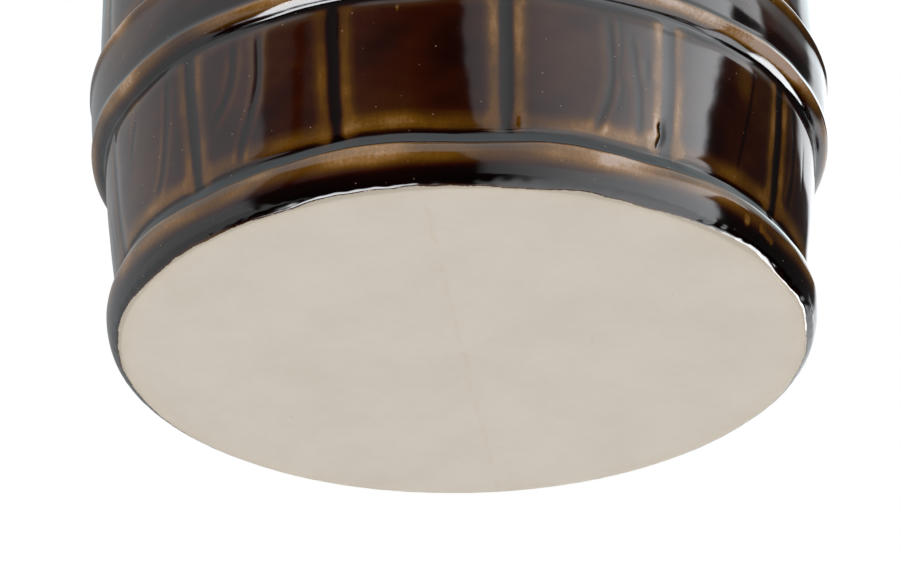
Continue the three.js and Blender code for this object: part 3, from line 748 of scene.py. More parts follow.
def glaze_material():
    material, n, place = new_material("treacle_glaze")
    depth = n.add("ShaderNodeAttribute", attribute_name="glaze_depth").outputs["Fac"]
    bare = n.add("ShaderNodeAttribute", attribute_name="bare").outputs["Fac"]
    streak = n.minus(n.noise(place, 0.7, 3, 0.6, (1, 1, 0.16)), 0.5)
    cloud = n.minus(n.noise(place, 6, 3, 0.6), 0.5)
    fine = n.minus(n.noise(place, 0.7, 2, 0.6), 0.5)
    thin = n.step(depth, 0.85, 0.1)
    varied = n.times_plus(n.times(streak, thin), 0.12, depth)
    varied = n.times_plus(cloud, 0.11, varied)
    varied = n.times_plus(n.times(fine, thin), 0.12, varied)
    lip = n.step(bare, -0.5, -0.02)
    varied = n.times_plus(lip, -0.3, varied)
    glazed = n.ramp(varied, GLAZE_STOPS)
    near, chance = n.random_cells(place, 2.6, 0.03, 0.075)
    dust = n.times(near, n.math("GREATER_THAN", chance, 0.3))
    glazed = n.mix(n.times(dust, 0.55), glazed, (0.55, 0.42, 0.3, 1))
    clay = clay_colour(n, place, bare)
    ragged = n.times_plus(fine, 0.18, bare)
    is_bare = n.step(ragged, -0.02, 0.03)
    colour = n.mix(is_bare, glazed, clay)
    roughness = n.times_plus(is_bare, 0.7, 0.075)
    grain = n.noise(place, 0.35, 3, 0.7)
    orange_peel = n.noise(place, 3.2, 1, 0.4)
    height = n.add("ShaderNodeMix", {0: is_bare, 2: orange_peel, 3: grain}).outputs[0]
    bump = n.bump(height, 0.03, 0.35)
    n.surface(colour, roughness, bump, IOR=1.5)
    return material


def clay_colour(n, place, bare):
    """Bare buff clay of the foot, with its mould seam, smears and stained edge."""
    patch = n.noise(place, 26, 4, 0.6)
    small = n.noise(place, 3, 3, 0.6)
    shade = n.times_plus(small, 0.25, n.times(patch, 0.9))
    colour = n.mix(n.step(shade, 0.35, 0.85), CLAY_LIGHT, CLAY_DARK)
    axes = n.add("ShaderNodeSeparateXYZ", {0: place})
    sway = n.minus(n.noise(place, 14, 2), 0.5)
    across = n.times_plus(sway, 3 * MM, axes.outputs[0])
    line = n.step(n.math("ABSOLUTE", across), 0.9 * MM, 0.1 * MM)
    broken = n.step(n.noise(place, 9, 2), 0.4, 0.62)
    colour = n.mix(n.times(n.times(line, broken), 0.16), colour, CLAY_STAIN)
    edge = n.step(bare, 0.5, 0)
    colour = n.mix(n.times(edge, 0.2), colour, CLAY_STAIN)
    colour = n.mix(n.times(n.step(bare, 6, 0), 0.1), colour, CLAY_WARM)
    near, chance = n.random_cells(place, 5, 0.02, 0.06)
    pit = n.times(near, n.math("GREATER_THAN", chance, 0.95))
    return n.mix(n.times(pit, 0.5), colour, CLAY_PIT)


def brass_material():
    material, n, place = new_material("tap_brass")
    cloud = n.noise(place, 7, 4, 0.6)
    fine = n.noise(place, 0.5, 3, 0.6)
    colour = n.mix(n.step(cloud, 0.35, 0.75), (0.7, 0.53, 0.28, 1), (0.56, 0.4, 0.19, 1))
    colour = n.mix(n.times(n.step(fine, 0.55, 0.8), 0.35), colour, (0.42, 0.27, 0.12, 1))
    roughness = n.times_plus(cloud, 0.18, 0.17)
    n.surface(colour, roughness, n.bump(fine, 0.02, 0.3), Metallic=1.0)
    return material


def rubber_material():
    material, n, place = new_material("seal_rubber")
    fine = n.noise(place, 0.6, 3, 0.6)
    colour = n.mix(fine, (0.022, 0.021, 0.02, 1), (0.05, 0.048, 0.045, 1))
    n.surface(colour, n.times_plus(fine, 0.2, 0.6), n.bump(fine, 0.02, 0.4))
    return material


# Studio, as seen in the glaze: (azimuth about the barrel from the camera, brightness there)
WALL_STOPS = [
    (-180, 0.3), (-120, 0.75), (-66.5, 1.02), (-65, 0.2), (-54.5, 0.16), (-53.5, 0.01),
    (-50, 0.01), (-48.5, 0.16), (-34, 0.12), (-14, 0.02), (4.2, 0.01), (5, 0.85), (40, 1.85),
    (77.5, 4.9), (79, 0.03), (142, 0.05), (146, 1.8), (180, 1.8),
]
UPPER_STOPS = [
    (-180, 0.3), (-120, 0.75), (-62.5, 1.02), (-61, 0.2), (-34, 0.12), (0.8, 0.01), (2, 0.85),
    (40, 1.85), (104, 3), (107, 0.03), (138, 0.05), (143, 1.8), (180, 1.8),
]
SIDE_STOPS = [
    (-180, 0.35), (-120, 0.9), (-68, 1.2), (-65, 0.015), (6, 0.01), (9, 0.8), (40, 2.6),
    (82.5, 4.4), (84.5, 0.03), (138, 0.05), (143, 1.6), (180, 1.6),
]
LOW_STOPS = [
    (-180, 0.6), (-150, 0.8), (-70, 0.9), (-64, 0.01), (14, 0.01), (30, 2.2),
    (77, 3.3), (115, 3.2), (125, 0.02), (180, 0.02),
]
OVERHEAD_STOPS = [
    (-180, 0.6), (-130, 0.6), (-100, 1), (-60, 1.35), (-20, 1.5), (60, 1.7), (110, 1.6),
    (120, 1.1), (138, 1.1), (144, 2.7), (165, 2.7), (180, 2),
]
# Lean of the wall's upright edges: azimuth and turn per degree of elevation
WALL_LEAN = [(-180, 0.4), (-40, 0.4), (3, -0.4), (84, 1), (180, 1)]
LEAN_MIDDLE = 13
# Elevations that part the zones, and half the width of each blend
OVERHEAD_FROM = (31, 4)
UPPER_FROM = (25.7, 0.4)
SIDE_TO = (5, 2)
LOW_TO = (-20, 2)
# Top of the side zone at the right, and the azimuths over which it gets there
SIDE_TO_RIGHT = 13
RIGHT_FROM_TO = (50, 66)
# Slanted right edge of the low zone: ahead there as shares of aside and of rise
LOW_EDGE = (0.313, 0.569)
LOW_EDGE_BLUR = 0.02
LEFT_BLUR = 0.1
STUDIO_PEAK = 5
OVERHEAD_TINT = (0.86, 1, 1.05, 1)
STUDIO_TINT = (0.97, 1, 1.03, 1)
AMBIENT = 0.78

# Bright panels under the barrel: nearest and farthest towards the camera, left and right of it,
# all as shares of the distance down, then the brightness
LOW_PANELS = [
    ((-0.22, 0.3), (-0.6, -0.13), 15), ((-0.35, 0.25), (-0.92, -0.6), -1),
    ((-1.2, -0.22), (-0.6, 0.12), -1), ((-0.75, -0.42), (0.2, 0.8), 4.5),
    ((-2.2, -0.74), (0.44, 1.08), 15),
]
PANEL_BLUR = 0.05
FLOOR_LEVEL = -0.15


def direction(azimuth_deg, elevation_deg):
    """Unit vector towards a view given as azimuth and elevation."""
    a, e = math.radians(azimuth_deg), math.radians(elevation_deg)
    return Vector((math.sin(a) * math.cos(e), -math.cos(a) * math.cos(e), math.sin(e)))


def sine(degrees):
    return math.sin(math.radians(degrees))


def turn_share(degrees):
    """Azimuth as a share of the way round, from -180 to 180 degrees."""
    return degrees / 360 + 0.5


def studio_seen(n, ray):
    """What a glossy surface sees of the studio in the direction of ray."""
    toward = direction(CAMERA_AZIMUTH_DEG, 0)
    ahead = n.dot(ray, toward)
    aside = n.dot(ray, Vector((-toward.y, toward.x, 0)))
    around = n.times_plus(n.math("ARCTAN2", aside, ahead), 1 / TURN, 0.5)
    rise = n.add("ShaderNodeSeparateXYZ", {0: ray}).outputs[2]

    def brightness(stops, place=around):
        stops = [(turn_share(degrees), (value / STUDIO_PEAK,) * 3) for degrees, value in stops]
        return n.times(n.ramp(place, stops), STUDIO_PEAK)

    def above(degrees, blur, height=rise):
        """1 in directions over that elevation."""
        return n.step(height, sine(degrees - blur), sine(degrees + blur))

    lean = [(turn_share(degrees), (value / 2 + 0.5,) * 3) for degrees, value in WALL_LEAN]
    lean = n.times_plus(n.ramp(around, lean), 2, -1)
    over = n.times(n.minus(rise, sine(LEAN_MIDDLE)), 1 / TURN)
    leaning = n.minus(around, n.times(lean, over))
    overhead = above(*OVERHEAD_FROM)
    upper = n.minus(above(*UPPER_FROM), overhead)
    at_right = n.step(around, *(turn_share(degrees) for degrees in RIGHT_FROM_TO))
    raised = n.times(at_right, sine(SIDE_TO_RIGHT) - sine(SIDE_TO[0]))
    over_side = above(*SIDE_TO, n.minus(rise, raised))
    wall = n.minus(over_side, above(*UPPER_FROM))
    side = n.minus(above(*LOW_TO), over_side)
    right_edge = n.times_plus(aside, -LOW_EDGE[0], ahead)
    right_edge = n.times_plus(rise, -LOW_EDGE[1], right_edge)
    inside_edge = n.step(right_edge, -LOW_EDGE_BLUR, LOW_EDGE_BLUR)
    at_left = n.step(aside, LEFT_BLUR, -LEFT_BLUR)
    low = n.minus(1, above(*LOW_TO))
    low = n.times(low, n.math("MAXIMUM", inside_edge, at_left))
    total = 0
    for share, stops, place in (
        (upper, UPPER_STOPS, around), (wall, WALL_STOPS, leaning), (side, SIDE_STOPS, around),
        (low, LOW_STOPS, around),
    ):
        total = n.times_plus(share, brightness(stops, place), total)
    down = n.math("MAXIMUM", n.times(rise, -1), 0.02)
    for near_far, left_right, level in LOW_PANELS:
        inside = level
        for axis, (start, stop) in ((ahead, near_far), (aside, left_right)):
            share = n.math("DIVIDE", axis, down)
            for edge, blur in ((start, PANEL_BLUR), (stop, -PANEL_BLUR)):
                inside = n.times(inside, n.step(share, edge - blur, edge + blur))
        total = n.math("MAXIMUM", n.math("ADD", total, inside), 0)
    walls = n.glow(total, STUDIO_TINT)
    ceiling = n.glow(n.times(overhead, brightness(OVERHEAD_STOPS)), OVERHEAD_TINT)
    return n.add("ShaderNodeAddShader", {0: walls, 1: ceiling})


def build_world():
    world = bpy.data.worlds.new("studio")
    bpy.context.scene.world = world
    world.use_nodes = True
    n = Nodes(world.node_tree)
    path = n.add("ShaderNodeLightPath")
    ray = n.add("ShaderNodeTexCoord").outputs["Generated"]
    studio = studio_seen(n, ray)
    soft, white = n.glow(AMBIENT), n.glow(1.0)
    lit = n.add("ShaderNodeMixShader", {0: path.outputs["Is Glossy Ray"], 1: soft, 2: studio})
    seen = n.math("MAXIMUM", path.outputs["Is Camera Ray"], path.outputs["Is Transmission Ray"])
    shown = n.add("ShaderNodeMixShader", {0: seen, 1: lit, 2: white})
    n.add("ShaderNodeOutputWorld", {"Surface": shown})


def build_floor():
    """Pale floor, open under the foot and see-through from below."""
    inner, outer, count = END_RADIUS - 0.8, 2600, 144
    material = bpy.data.materials.new("studio_floor")
    material.use_nodes = True
    n = Nodes(material.node_tree)
    geometry = n.add("ShaderNodeNewGeometry")
    pale = n.add("ShaderNodeBsdfDiffuse", {"Color": (0.9, 0.9, 0.9, 1)})
    clear = n.add("ShaderNodeBsdfTransparent")
    shader = n.add("ShaderNodeMixShader", {0: geometry.outputs["Backfacing"], 1: pale, 2: clear})
    n.add("ShaderNodeOutputMaterial", {"Surface": shader})
    points = [
        (radius * math.cos(t), radius * math.sin(t), FLOOR_LEVEL)
        for radius in (inner, outer) for t in even_angles(count)
    ]
    faces = [(i, count + i, count + (i + 1) % count, (i + 1) % count) for i in range(count)]
    floor = mesh_piece("floor", points, np.array(faces), material)
    floor.visible_glossy = False
    floor.visible_diffuse = False


def add_lamp(name, place, target, width, power):
    lamp = bpy.data.lights.new(name, "AREA")
    lamp.shape = "DISK"
    lamp.size = width * MM
    lamp.energy = power
    holder = bpy.data.objects.new(name, lamp)
    bpy.context.scene.collection.objects.link(holder)
    holder.location = Vector(place) * MM
    aim = Vector(target) * MM - holder.location
    holder.rotation_euler = aim.to_track_quat("-Z", "Y").to_euler()
    holder.visible_glossy = False


def build_lamps():
    add_lamp("key", direction(150, 48) * 2000, (0, 0, 100), 1100, 13)
    add_lamp("fill", direction(330, 35) * 2000, (0, 0, 100), 1100, 8)
    add_lamp("foot_light", direction(200, -50) * 1100 + Vector((500, 0, 0)), (0, 0, 0), 700, 2.2)


def camera_matrix():
    """Camera axes and place that put the foot's centre on its pixel."""
    away = direction(CAMERA_AZIMUTH_DEG, CAMERA_ELEVATION_DEG)
    right = direction(CAMERA_AZIMUTH_DEG + 90, 0)
    offset_x = (FOOT_PIXEL[0] - IMAGE_WIDTH / 2) / FOCAL_PIXELS
    offset_y = (FOOT_PIXEL[1] - IMAGE_HEIGHT / 2) / FOCAL_PIXELS
    swing = Vector((0, 0, 1)).rotation_difference(Vector((offset_x, -offset_y, 1)))
    tilt = Matrix.Rotation(math.radians(CAMERA_ROLL_DEG), 3, "Z")
    axes = swing.to_matrix() @ tilt @ Matrix((right, right.cross(-away), -away))
    matrix = Matrix((axes[0], axes[1], -axes[2])).transposed().to_4x4()
    matrix.translation = away * CAMERA_DISTANCE * MM
    return matrix


def build_camera():
    data = bpy.data.cameras.new("photo_camera")
    data.sensor_width = SENSOR_MM
    data.lens = FOCAL_PIXELS * SENSOR_MM / IMAGE_WIDTH
    data.clip_start = 0.05
    camera = bpy.data.objects.new("photo_camera", data)
    bpy.context.scene.collection.objects.link(camera)
    camera.matrix_world = camera_matrix()
    bpy.context.scene.camera = camera


# Lid
LID_BOTTOM = LID_SEAT + 0.3
LID_TOP = LID_BOTTOM + 6
LID_RADIUS = END_RADIUS - RIM_WIDTH - 0.8
SPIGOT_RADIUS = END_RADIUS - RIM_WIDTH - GALLERY_WIDTH - 1
SPIGOT_WALL = 5
SPIGOT_DEPTH = 7
BOARD_COUNT = 6
LID_BAND = 6
LID_COLUMNS = 720
# Glaze depth on the lid's plain surfaces and edges
PLAIN_DEPTH = 0.62
EDGE_DEPTH = 0.32
KNOB_PROFILE = [
    (17.6, 0), (16.6, 0.25), (15.9, 1.1), (14.3, 2.4), (11.6, 4.2), (9.6, 6.4), (8.6, 9),
    (8.9, 11.2), (10.4, 13.1), (12.8, 15), (14.5, 17), (15, 19.2), (14.7, 21.4), (13.2, 23.3),
    (10.6, 24.5), (7, 24.9), (3.5, 25), (0, 25),
]

# Tap: shared with the frame's nodes
SHANK_RADIUS = 6
FLANGE_BACK = 2.6
SHANK_TIP = -28.19
CHAMBER_REACH = 26
CHAMBER_TOP = 14
CHAMBER_LOW_RADIUS = 9.2
CHAMBER_TOP_RADIUS = 10.4
NECK_RADIUS = 6.6
SPOUT_REACH = 45.8
SPOUT_BEND = 11.5
SPOUT_DROP = 11
SPOUT_RADIUS = 6.2
SPOUT_BORE = 4
THREAD_PITCH = 1.5
THREAD_DEPTH = 0.45
SHANK_CLEAR = 6.3
SHANK_NUT_FLATS = 19.6
SHANK_NUT_HEIGHT = 6
ARM_LENGTH = 22
ARM_BALL = 3.6
PAD_PLACE = (0, -PAD_FACE, TAP_HEIGHT)
PLUG_PLACE = (0, -PAD_FACE - CHAMBER_REACH, TAP_HEIGHT)


def along_out(points):
    """Turns a piece made about +Z so that it points along -Y."""
    return points[:, [0, 2, 1]] * (1, -1, 1)


def along_across(points):
    """Turns a piece made about +Z so that it points along +X."""
    return points[:, [2, 0, 1]]


def softened(profile, reach, steps=4, closed=False):
    """The profile with each corner replaced by a short curve."""
    points = [np.array(point, float) for point in profile]
    count = len(points)
    found = []
    for i, corner in enumerate(points):
        if not closed and i in (0, count - 1):
            found.append(corner)
            continue
        before, after = points[i - 1] - corner, points[(i + 1) % count] - corner
        sizes = np.hypot(*before), np.hypot(*after)
        cut = min(reach, sizes[0] * 0.45, sizes[1] * 0.45)
        start, stop = corner + before / sizes[0] * cut, corner + after / sizes[1] * cut
        for t in np.linspace(0, 1, steps + 1):
            found.append(start * (1 - t) ** 2 + 2 * corner * t * (1 - t) + stop * t ** 2)
    return found


def filled(profile, step, closed=False):
    """The profile with points added so that no part is longer than the step."""
    ends = profile[1:] + ([profile[0]] if closed else [])
    found = []
    for start, stop in zip(profile, ends):
        start, stop = np.array(start, float), np.array(stop, float)
        count = max(1, math.ceil(np.hypot(*(stop - start)) / step))
        found += [start + (stop - start) * i / count for i in range(count)]
    if not closed:
        found.append(np.array(profile[-1], float))
    return found


def rod(radius, low, high):
    """Profile of a plain round bar."""
    return [(0, low), (radius, low), (radius, high), (0, high)]


def turned(profile, columns=96, closed=False, shape=None):
    """Points and corners of a solid turned about +Z from (radius, height) points listed upwards."""
    angle = even_angles(columns)
    radius = np.repeat(np.array([point[0] for point in profile])[:, None], columns, 1)
    height = np.repeat(np.array([point[1] for point in profile])[:, None], columns, 1)
    if shape:
        radius = shape(angle[None, :], radius, height)
    grid = np.stack([radius * np.cos(angle), radius * np.sin(angle), height], -1)
    if not closed:
        return shell(grid)
    index = np.arange(grid.shape[0] * columns).reshape(-1, columns)
    up = np.roll(index, -1, 0)
    quads = np.stack([index, np.roll(index, -1, 1), np.roll(up, -1, 1), up], -1)
    return grid.reshape(-1, 3), quads.reshape(-1, 4)


def moved(part, shift, turn=None):
    points, faces = part
    return (turn(points) if turn else points) + np.array(shift, float), faces


def shifted(place, y=0, z=0):
    return place[0], place[1] + y, place[2] + z


def together(*parts):
    """Several closed shells as one."""
    points, faces, first = [], [], 0
    for part_points, part_faces in parts:
        points.append(part_points)
        faces.append(np.where(part_faces < 0, -1, part_faces + first))
        first += len(part_points)
    return np.vstack(points), np.vstack(faces)


def tube(path, radius, columns=64):
    """Closed round bar along (y, z) points in the plane X = 0."""
    path = np.array(path, float)
    ahead = np.gradient(path, axis=0)
    ahead /= np.hypot(*ahead.T)[:, None]
    angle = even_angles(columns)
    x = radius * np.cos(angle)[None, :] * np.ones((len(path), 1))
    aside = radius * np.sin(angle)
    y = path[:, :1] + ahead[:, 1:] * aside
    z = path[:, 1:] - ahead[:, :1] * aside
    rings = np.stack([x, y, z], -1)
    ends = np.array([[0, *path[0]], [0, *path[-1]]])[:, None] * np.ones((1, columns, 1))
    return shell(np.concatenate([ends[:1], rings, ends[1:]]))


def sector(inner, outer, from_deg, to_deg, low, high, steps=24):
    """Closed part of a ring between two angles."""
    turns = np.radians(np.linspace(from_deg, to_deg, steps + 1))
    rings = []
    for radius, height in ((inner, low), (outer, low), (outer, high), (inner, high)):
        x, y = radius * np.cos(turns), radius * np.sin(turns)
        rings.append(np.stack([x, y, 0 * turns + height], -1))
    points = np.stack(rings, 1).reshape(-1, 3)
    faces = []
    for i in range(steps):
        for j in range(4):
            k = (j + 1) % 4
            faces.append((4 * i + j, 4 * i + k, 4 * i + 4 + k, 4 * i + 4 + j))
    last = 4 * steps
    faces += [(3, 2, 1, 0), (last, last + 1, last + 2, last + 3)]
    return points, np.array(faces)


def block(x, y, low, high):
    """Closed box about the Z axis."""
    corners = [(-x, -y), (x, -y), (x, y), (-x, y)]
    points = np.array([(*corner, height) for height in (low, high) for corner in corners], float)
    faces = [(3, 2, 1, 0), (4, 5, 6, 7)]
    faces += [(i, (i + 1) % 4, (i + 1) % 4 + 4, i + 4) for i in range(4)]
    return points, np.array(faces)


def groove_share(angle, height, pitch, low, high):
    """Depth of a screw's groove there, from 0 on its crest to 1 in its root."""
    phase = (height / pitch - angle / TURN) % 1
    return smooth(np.abs(phase - 0.5), low, high)


def threaded(low, high, radius, pitch, depth, columns=96):
    """Closed bar with a screw thread between two heights."""
    def ridge(angle, radius_there, height):
        cut = depth * groove_share(angle, height, pitch, 0.06, 0.44)
        fade = smooth(np.minimum(height - low, high - height), 0, pitch * 0.8)
        cut = cut + depth * (1 - fade) * 0.6
        return radius_there - np.where(radius_there > radius * 0.98, cut, 0)
    return turned(filled(rod(radius, low, high), 0.16), columns, shape=ridge)


def hexagon(flats, soft=0.35):
    """Shape that squeezes a round bar to a hexagon; narrower rows stay round."""
    apothem = flats / 2

    def squeezed(angle, radius, height):
        aside = (angle + math.pi / 6) % (math.pi / 3) - math.pi / 6
        reach = apothem / np.cos(aside)
        near = np.minimum(radius, reach)
        blend = np.exp(-np.abs(radius - reach) / soft) * soft * 0.35
        return np.where(radius > apothem * 0.93, near - blend, radius)
    return squeezed


def nut(flats, height, bore, pitch):
    """Closed hexagon nut about +Z from 0 to its height, with its corners turned off."""
    corner, apothem = flats / math.sqrt(3), flats / 2
    fall = (corner - apothem) * 0.62
    outline = [
        (bore + 0.5, 0), (apothem - 0.1, 0), (corner, fall), (corner, height - fall),
        (apothem - 0.1, height), (bore + 0.5, height), (bore, height - 0.5), (bore, 0.5),
    ]
    profile = filled(softened(outline, 0.25, 3, closed=True), 0.3, closed=True)
    squeeze = hexagon(flats)

    def shape(angle, radius, z):
        cut = 0.3 * groove_share(angle, z, pitch, 0.1, 0.4)
        cut = cut * smooth(np.minimum(z, height - z), 0.3, 1)
        return np.where(radius < bore + 0.1, radius + cut, squeeze(angle, radius, z))
    return turned(profile, 192, closed=True, shape=shape)


def ring(inner, outer, low, high, soft):
    outline = [(inner, low), (outer, low), (outer, high), (inner, high)]
    outline = softened(outline, soft, 5, closed=True)
    return turned(filled(outline, 0.4, closed=True), 144, closed=True)


def settle(piece):
    """Turns the piece's modifiers into plain mesh."""
    material = piece.data.materials[0]
    graph = bpy.context.evaluated_depsgraph_get()
    mesh = bpy.data.meshes.new_from_object(piece.evaluated_get(graph))
    piece.modifiers.clear()
    piece.data = mesh
    mesh.materials.clear()
    mesh.materials.append(material)
    mesh.polygons.foreach_set("use_smooth", np.ones(len(mesh.polygons), bool))
    return piece


def cut_from(piece, tools):
    """Takes closed parts out of the piece."""
    for number, part in enumerate(tools):
        tool = mesh_piece(f"{piece.name}_tool_{number}", *part, piece.data.materials[0])
        cutter = piece.modifiers.new("cut", "BOOLEAN")
        cutter.operation = "DIFFERENCE"
        cutter.solver = "MANIFOLD"
        cutter.object = tool
        settle(piece)
        bpy.data.objects.remove(tool)
    return piece


def cast(piece, voxel, smoothing=4):
    """Joins overlapping shells into one skin with small fillets."""
    remesh = piece.modifiers.new("skin", "REMESH")
    remesh.mode = "VOXEL"
    remesh.voxel_size = voxel * MM
    remesh.use_smooth_shade = True
    soften = piece.modifiers.new("soft", "SMOOTH")
    soften.factor = 0.5
    soften.iterations = smoothing
    return settle(piece)


def finish_piece(piece, node, body):
    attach(piece, body)
    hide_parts(node)
    return piece


def lid_relief(x, y, random):
    """Height and glaze depth of the boards on the lid's top."""
    pitch = 2 * (LID_RADIUS - LID_BAND) / BOARD_COUNT
    place = (x + BOARD_COUNT / 2 * pitch) / pitch
    inside = (place > 0.5) & (place < BOARD_COUNT - 0.5)
    gap = np.where(inside, np.abs(place - np.round(place)) * pitch, pitch)
    rim_gap = np.abs(np.hypot(x, y) - (LID_RADIUS - LID_BAND))
    gap = np.minimum(gap + 0.15 * np.sin(y / 9), rim_gap)
    rise = -0.75 * hump(gap, 1.1) - 0.25 * hump(gap, 3.4)
    depth = 0.7 * hump(gap, 1.1) - 0.4 * hump(gap - 2.6, 1.2)
    for board in range(BOARD_COUNT):
        for _ in range(2):
            middle = (board + random.uniform(0.25, 0.75) - BOARD_COUNT / 2) * pitch
            low, high = sorted(random.uniform(-58, 58, 2))
            bend, phase = random.uniform(1, 2.2), random.uniform(0, TURN)
            centre = middle + bend * np.sin(y / 17 + phase)
            fade = smooth(np.minimum(y - low, high - y), 0, 6)
            near = np.abs(x - centre)
            rise = rise - GRAIN_DEPTH * 1.4 * hump(near, GRAIN_WIDTH) * fade
            depth = depth + GRAIN_INK * hump(near, GRAIN_WIDTH) * fade
            depth = depth - GRAIN_AMBER * hump(near - 1.6, 0.8) * fade
    return rise, depth


def build_lid(material):
    angle, rows, add = ring_list(LID_COLUMNS)
    inner = SPIGOT_RADIUS - SPIGOT_WALL
    low = LID_BOTTOM - SPIGOT_DEPTH
    under = [
        (0, LID_BOTTOM), (inner - 1.5, LID_BOTTOM), (inner, LID_BOTTOM - 1.2), (inner, low + 1.8),
        (inner + 1.8, low), (SPIGOT_RADIUS - 1.8, low), (SPIGOT_RADIUS, low + 1.8),
        (SPIGOT_RADIUS, LID_BOTTOM - 0.4), (SPIGOT_RADIUS + 0.4, LID_BOTTOM),
        (LID_RADIUS - 0.9, LID_BOTTOM), (LID_RADIUS, LID_BOTTOM + 0.9), (LID_RADIUS, LID_TOP - 1.8),
        (LID_RADIUS - 1.8, LID_TOP), (LID_RADIUS - 3, LID_TOP),
    ]
    for radius, height in filled(softened(under, 1.1, 5), 1.5):
        seat = min(radius - SPIGOT_RADIUS - 0.7, LID_RADIUS - 1.4 - radius)
        bare = seat if height < LID_BOTTOM + 0.3 and radius > SPIGOT_RADIUS else NO_EDGE
        on_edge = height > LID_TOP - 1 or LID_BOTTOM < height < LID_BOTTOM + 1
        add(radius, height, EDGE_DEPTH if on_edge else PLAIN_DEPTH, bare)
    foot = KNOB_PROFILE[0][0]
    for radius in np.arange(LID_RADIUS - 3.4, foot, -0.45):
        x, y = radius * np.cos(angle), radius * np.sin(angle)
        rise, depth = lid_relief(x, y, np.random.default_rng(BOARD_SEED))
        near_foot = 1 - smooth(radius - foot, 0, 2.5)
        rise = rise * (1 - near_foot)
        ripple = waves(angle, radius, *LID_WAVE, np.random.default_rng(LID_SEED))
        ripple = ripple * (1 - near_foot)
        add(radius, LID_TOP + rise + ripple, PLAIN_DEPTH + depth + 0.3 * near_foot)
    knob = filled([tuple(p) for p in softened(KNOB_PROFILE, 1.2, 3)], 0.6)
    for radius, height in knob:
        thin = 0.34 * hump(height - 21.8, 2.2) + 0.1 * hump(height - 13.6, 1.4)
        pool = 0.3 * hump(height - 5, 3.5)
        wobble = waves(angle, height, *KNOB_WAVE, np.random.default_rng(KNOB_SEED))
        wobble = wobble * min(1, radius / 6)
        add(radius + wobble, LID_TOP + height, PLAIN_DEPTH - thin + pool)
    lid = ring_mesh("stoneware_lid", angle, np.array(rows), material)
    return finish_piece(lid, "lid", "lid")


def bend_path(end_drop):
    """Centre line of the spout as (y, z) from the chamber's axis, in the pad's frame."""
    start, corner = 11.5 - SPOUT_REACH, -SPOUT_REACH
    points = [(y, 0) for y in np.arange(-CHAMBER_REACH, start, -0.5)]
    for t in np.linspace(0, 1, 36):
        y = start * (1 - t) ** 2 + 2 * corner * t * (1 - t) + corner * t ** 2
        points.append((y, -SPOUT_BEND * t ** 2))
    end = -SPOUT_BEND - end_drop
    points += [(corner, z) for z in np.linspace(-SPOUT_BEND, end, 20)[1:]]
    return points


def build_tap_body(material):
    front = FLANGE_BACK + 3.6
    stem = softened([
        (0, SHANK_TIP), (4.9, SHANK_TIP), (5.3, SHANK_TIP + 0.4), (5.3, -13), (SHANK_RADIUS, -12.4),
        (SHANK_RADIUS, FLANGE_BACK), (14, FLANGE_BACK), (14, FLANGE_BACK + 2.1), (12.6, front - 1),
        (NECK_RADIUS + 2, front), (NECK_RADIUS, front + 2), (NECK_RADIUS, 12.6), (7.7, 13.1),
        (7.7, 15.1), (NECK_RADIUS, 15.6), (NECK_RADIUS, CHAMBER_REACH), (0, CHAMBER_REACH),
    ], 0.4)
    low, high, top = CHAMBER_LOW_RADIUS, CHAMBER_TOP_RADIUS, CHAMBER_TOP
    chamber = softened([
        (0, -top), (low + 0.7, -top), (low + 1.1, -top + 0.6), (low + 1.1, -top + 2.4),
        (low + 0.15, -top + 3.2), (low + 0.4, -top + 8), (high - 0.4, top - 8),
        (high - 0.1, top - 3.2), (high + 0.9, top - 2.4), (high + 0.9, top - 0.6),
        (high + 0.4, top), (0, top),
    ], 0.5)
    tip = -SPOUT_BEND - SPOUT_DROP
    lip = softened([
        (0, tip), (SPOUT_RADIUS + 0.3, tip), (SPOUT_RADIUS + 0.9, tip + 0.7),
        (SPOUT_RADIUS + 0.9, tip + 1.7), (SPOUT_RADIUS, tip + 2.6), (SPOUT_RADIUS - 0.4, tip + 3),
        (0, tip + 3),
    ], 0.4)
    reach = (0, -CHAMBER_REACH, 0)
    shells = together(
        moved(turned(filled(stem, 1)), (0, 0, 0), along_out),
        moved(turned(filled(chamber, 1)), reach),
        tube(bend_path(SPOUT_DROP), SPOUT_RADIUS),
        moved(turned(filled(lip, 1)), (0, -SPOUT_REACH, 0)),
        moved(sector(7.2, 9.1, -15, 15, 11, CHAMBER_TOP + 2.2), reach),
    )
    body = mesh_piece("brass_tap_body", *moved(shells, PAD_PLACE), material)
    cast(body, 0.34)
    taper = turned([(0, -16), (5.7, -16), (5.7, -14), (6.9, 14), (6.9, 16.5), (0, 16.5)])
    inlet = turned(rod(3.6, SHANK_TIP - 2, CHAMBER_REACH), 64)
    outlet = tube(bend_path(SPOUT_DROP + 2), SPOUT_BORE)
    cut_from(body, [
        moved(moved(taper, reach), PAD_PLACE), moved(inlet, PAD_PLACE, along_out),
        moved(outlet, PAD_PLACE),
    ])
    thread = threaded(SHANK_TIP + 0.5, -13.4, SHANK_RADIUS - 0.03, THREAD_PITCH, THREAD_DEPTH)
    hollow = turned(rod(4.6, SHANK_TIP, -13), 64)
    screw = mesh_piece("screw", *moved(thread, PAD_PLACE, along_out), material)
    cut_from(screw, [moved(hollow, PAD_PLACE, along_out)])
    return finish_piece(joined_pieces(body, screw), "tap_body", "barrel")


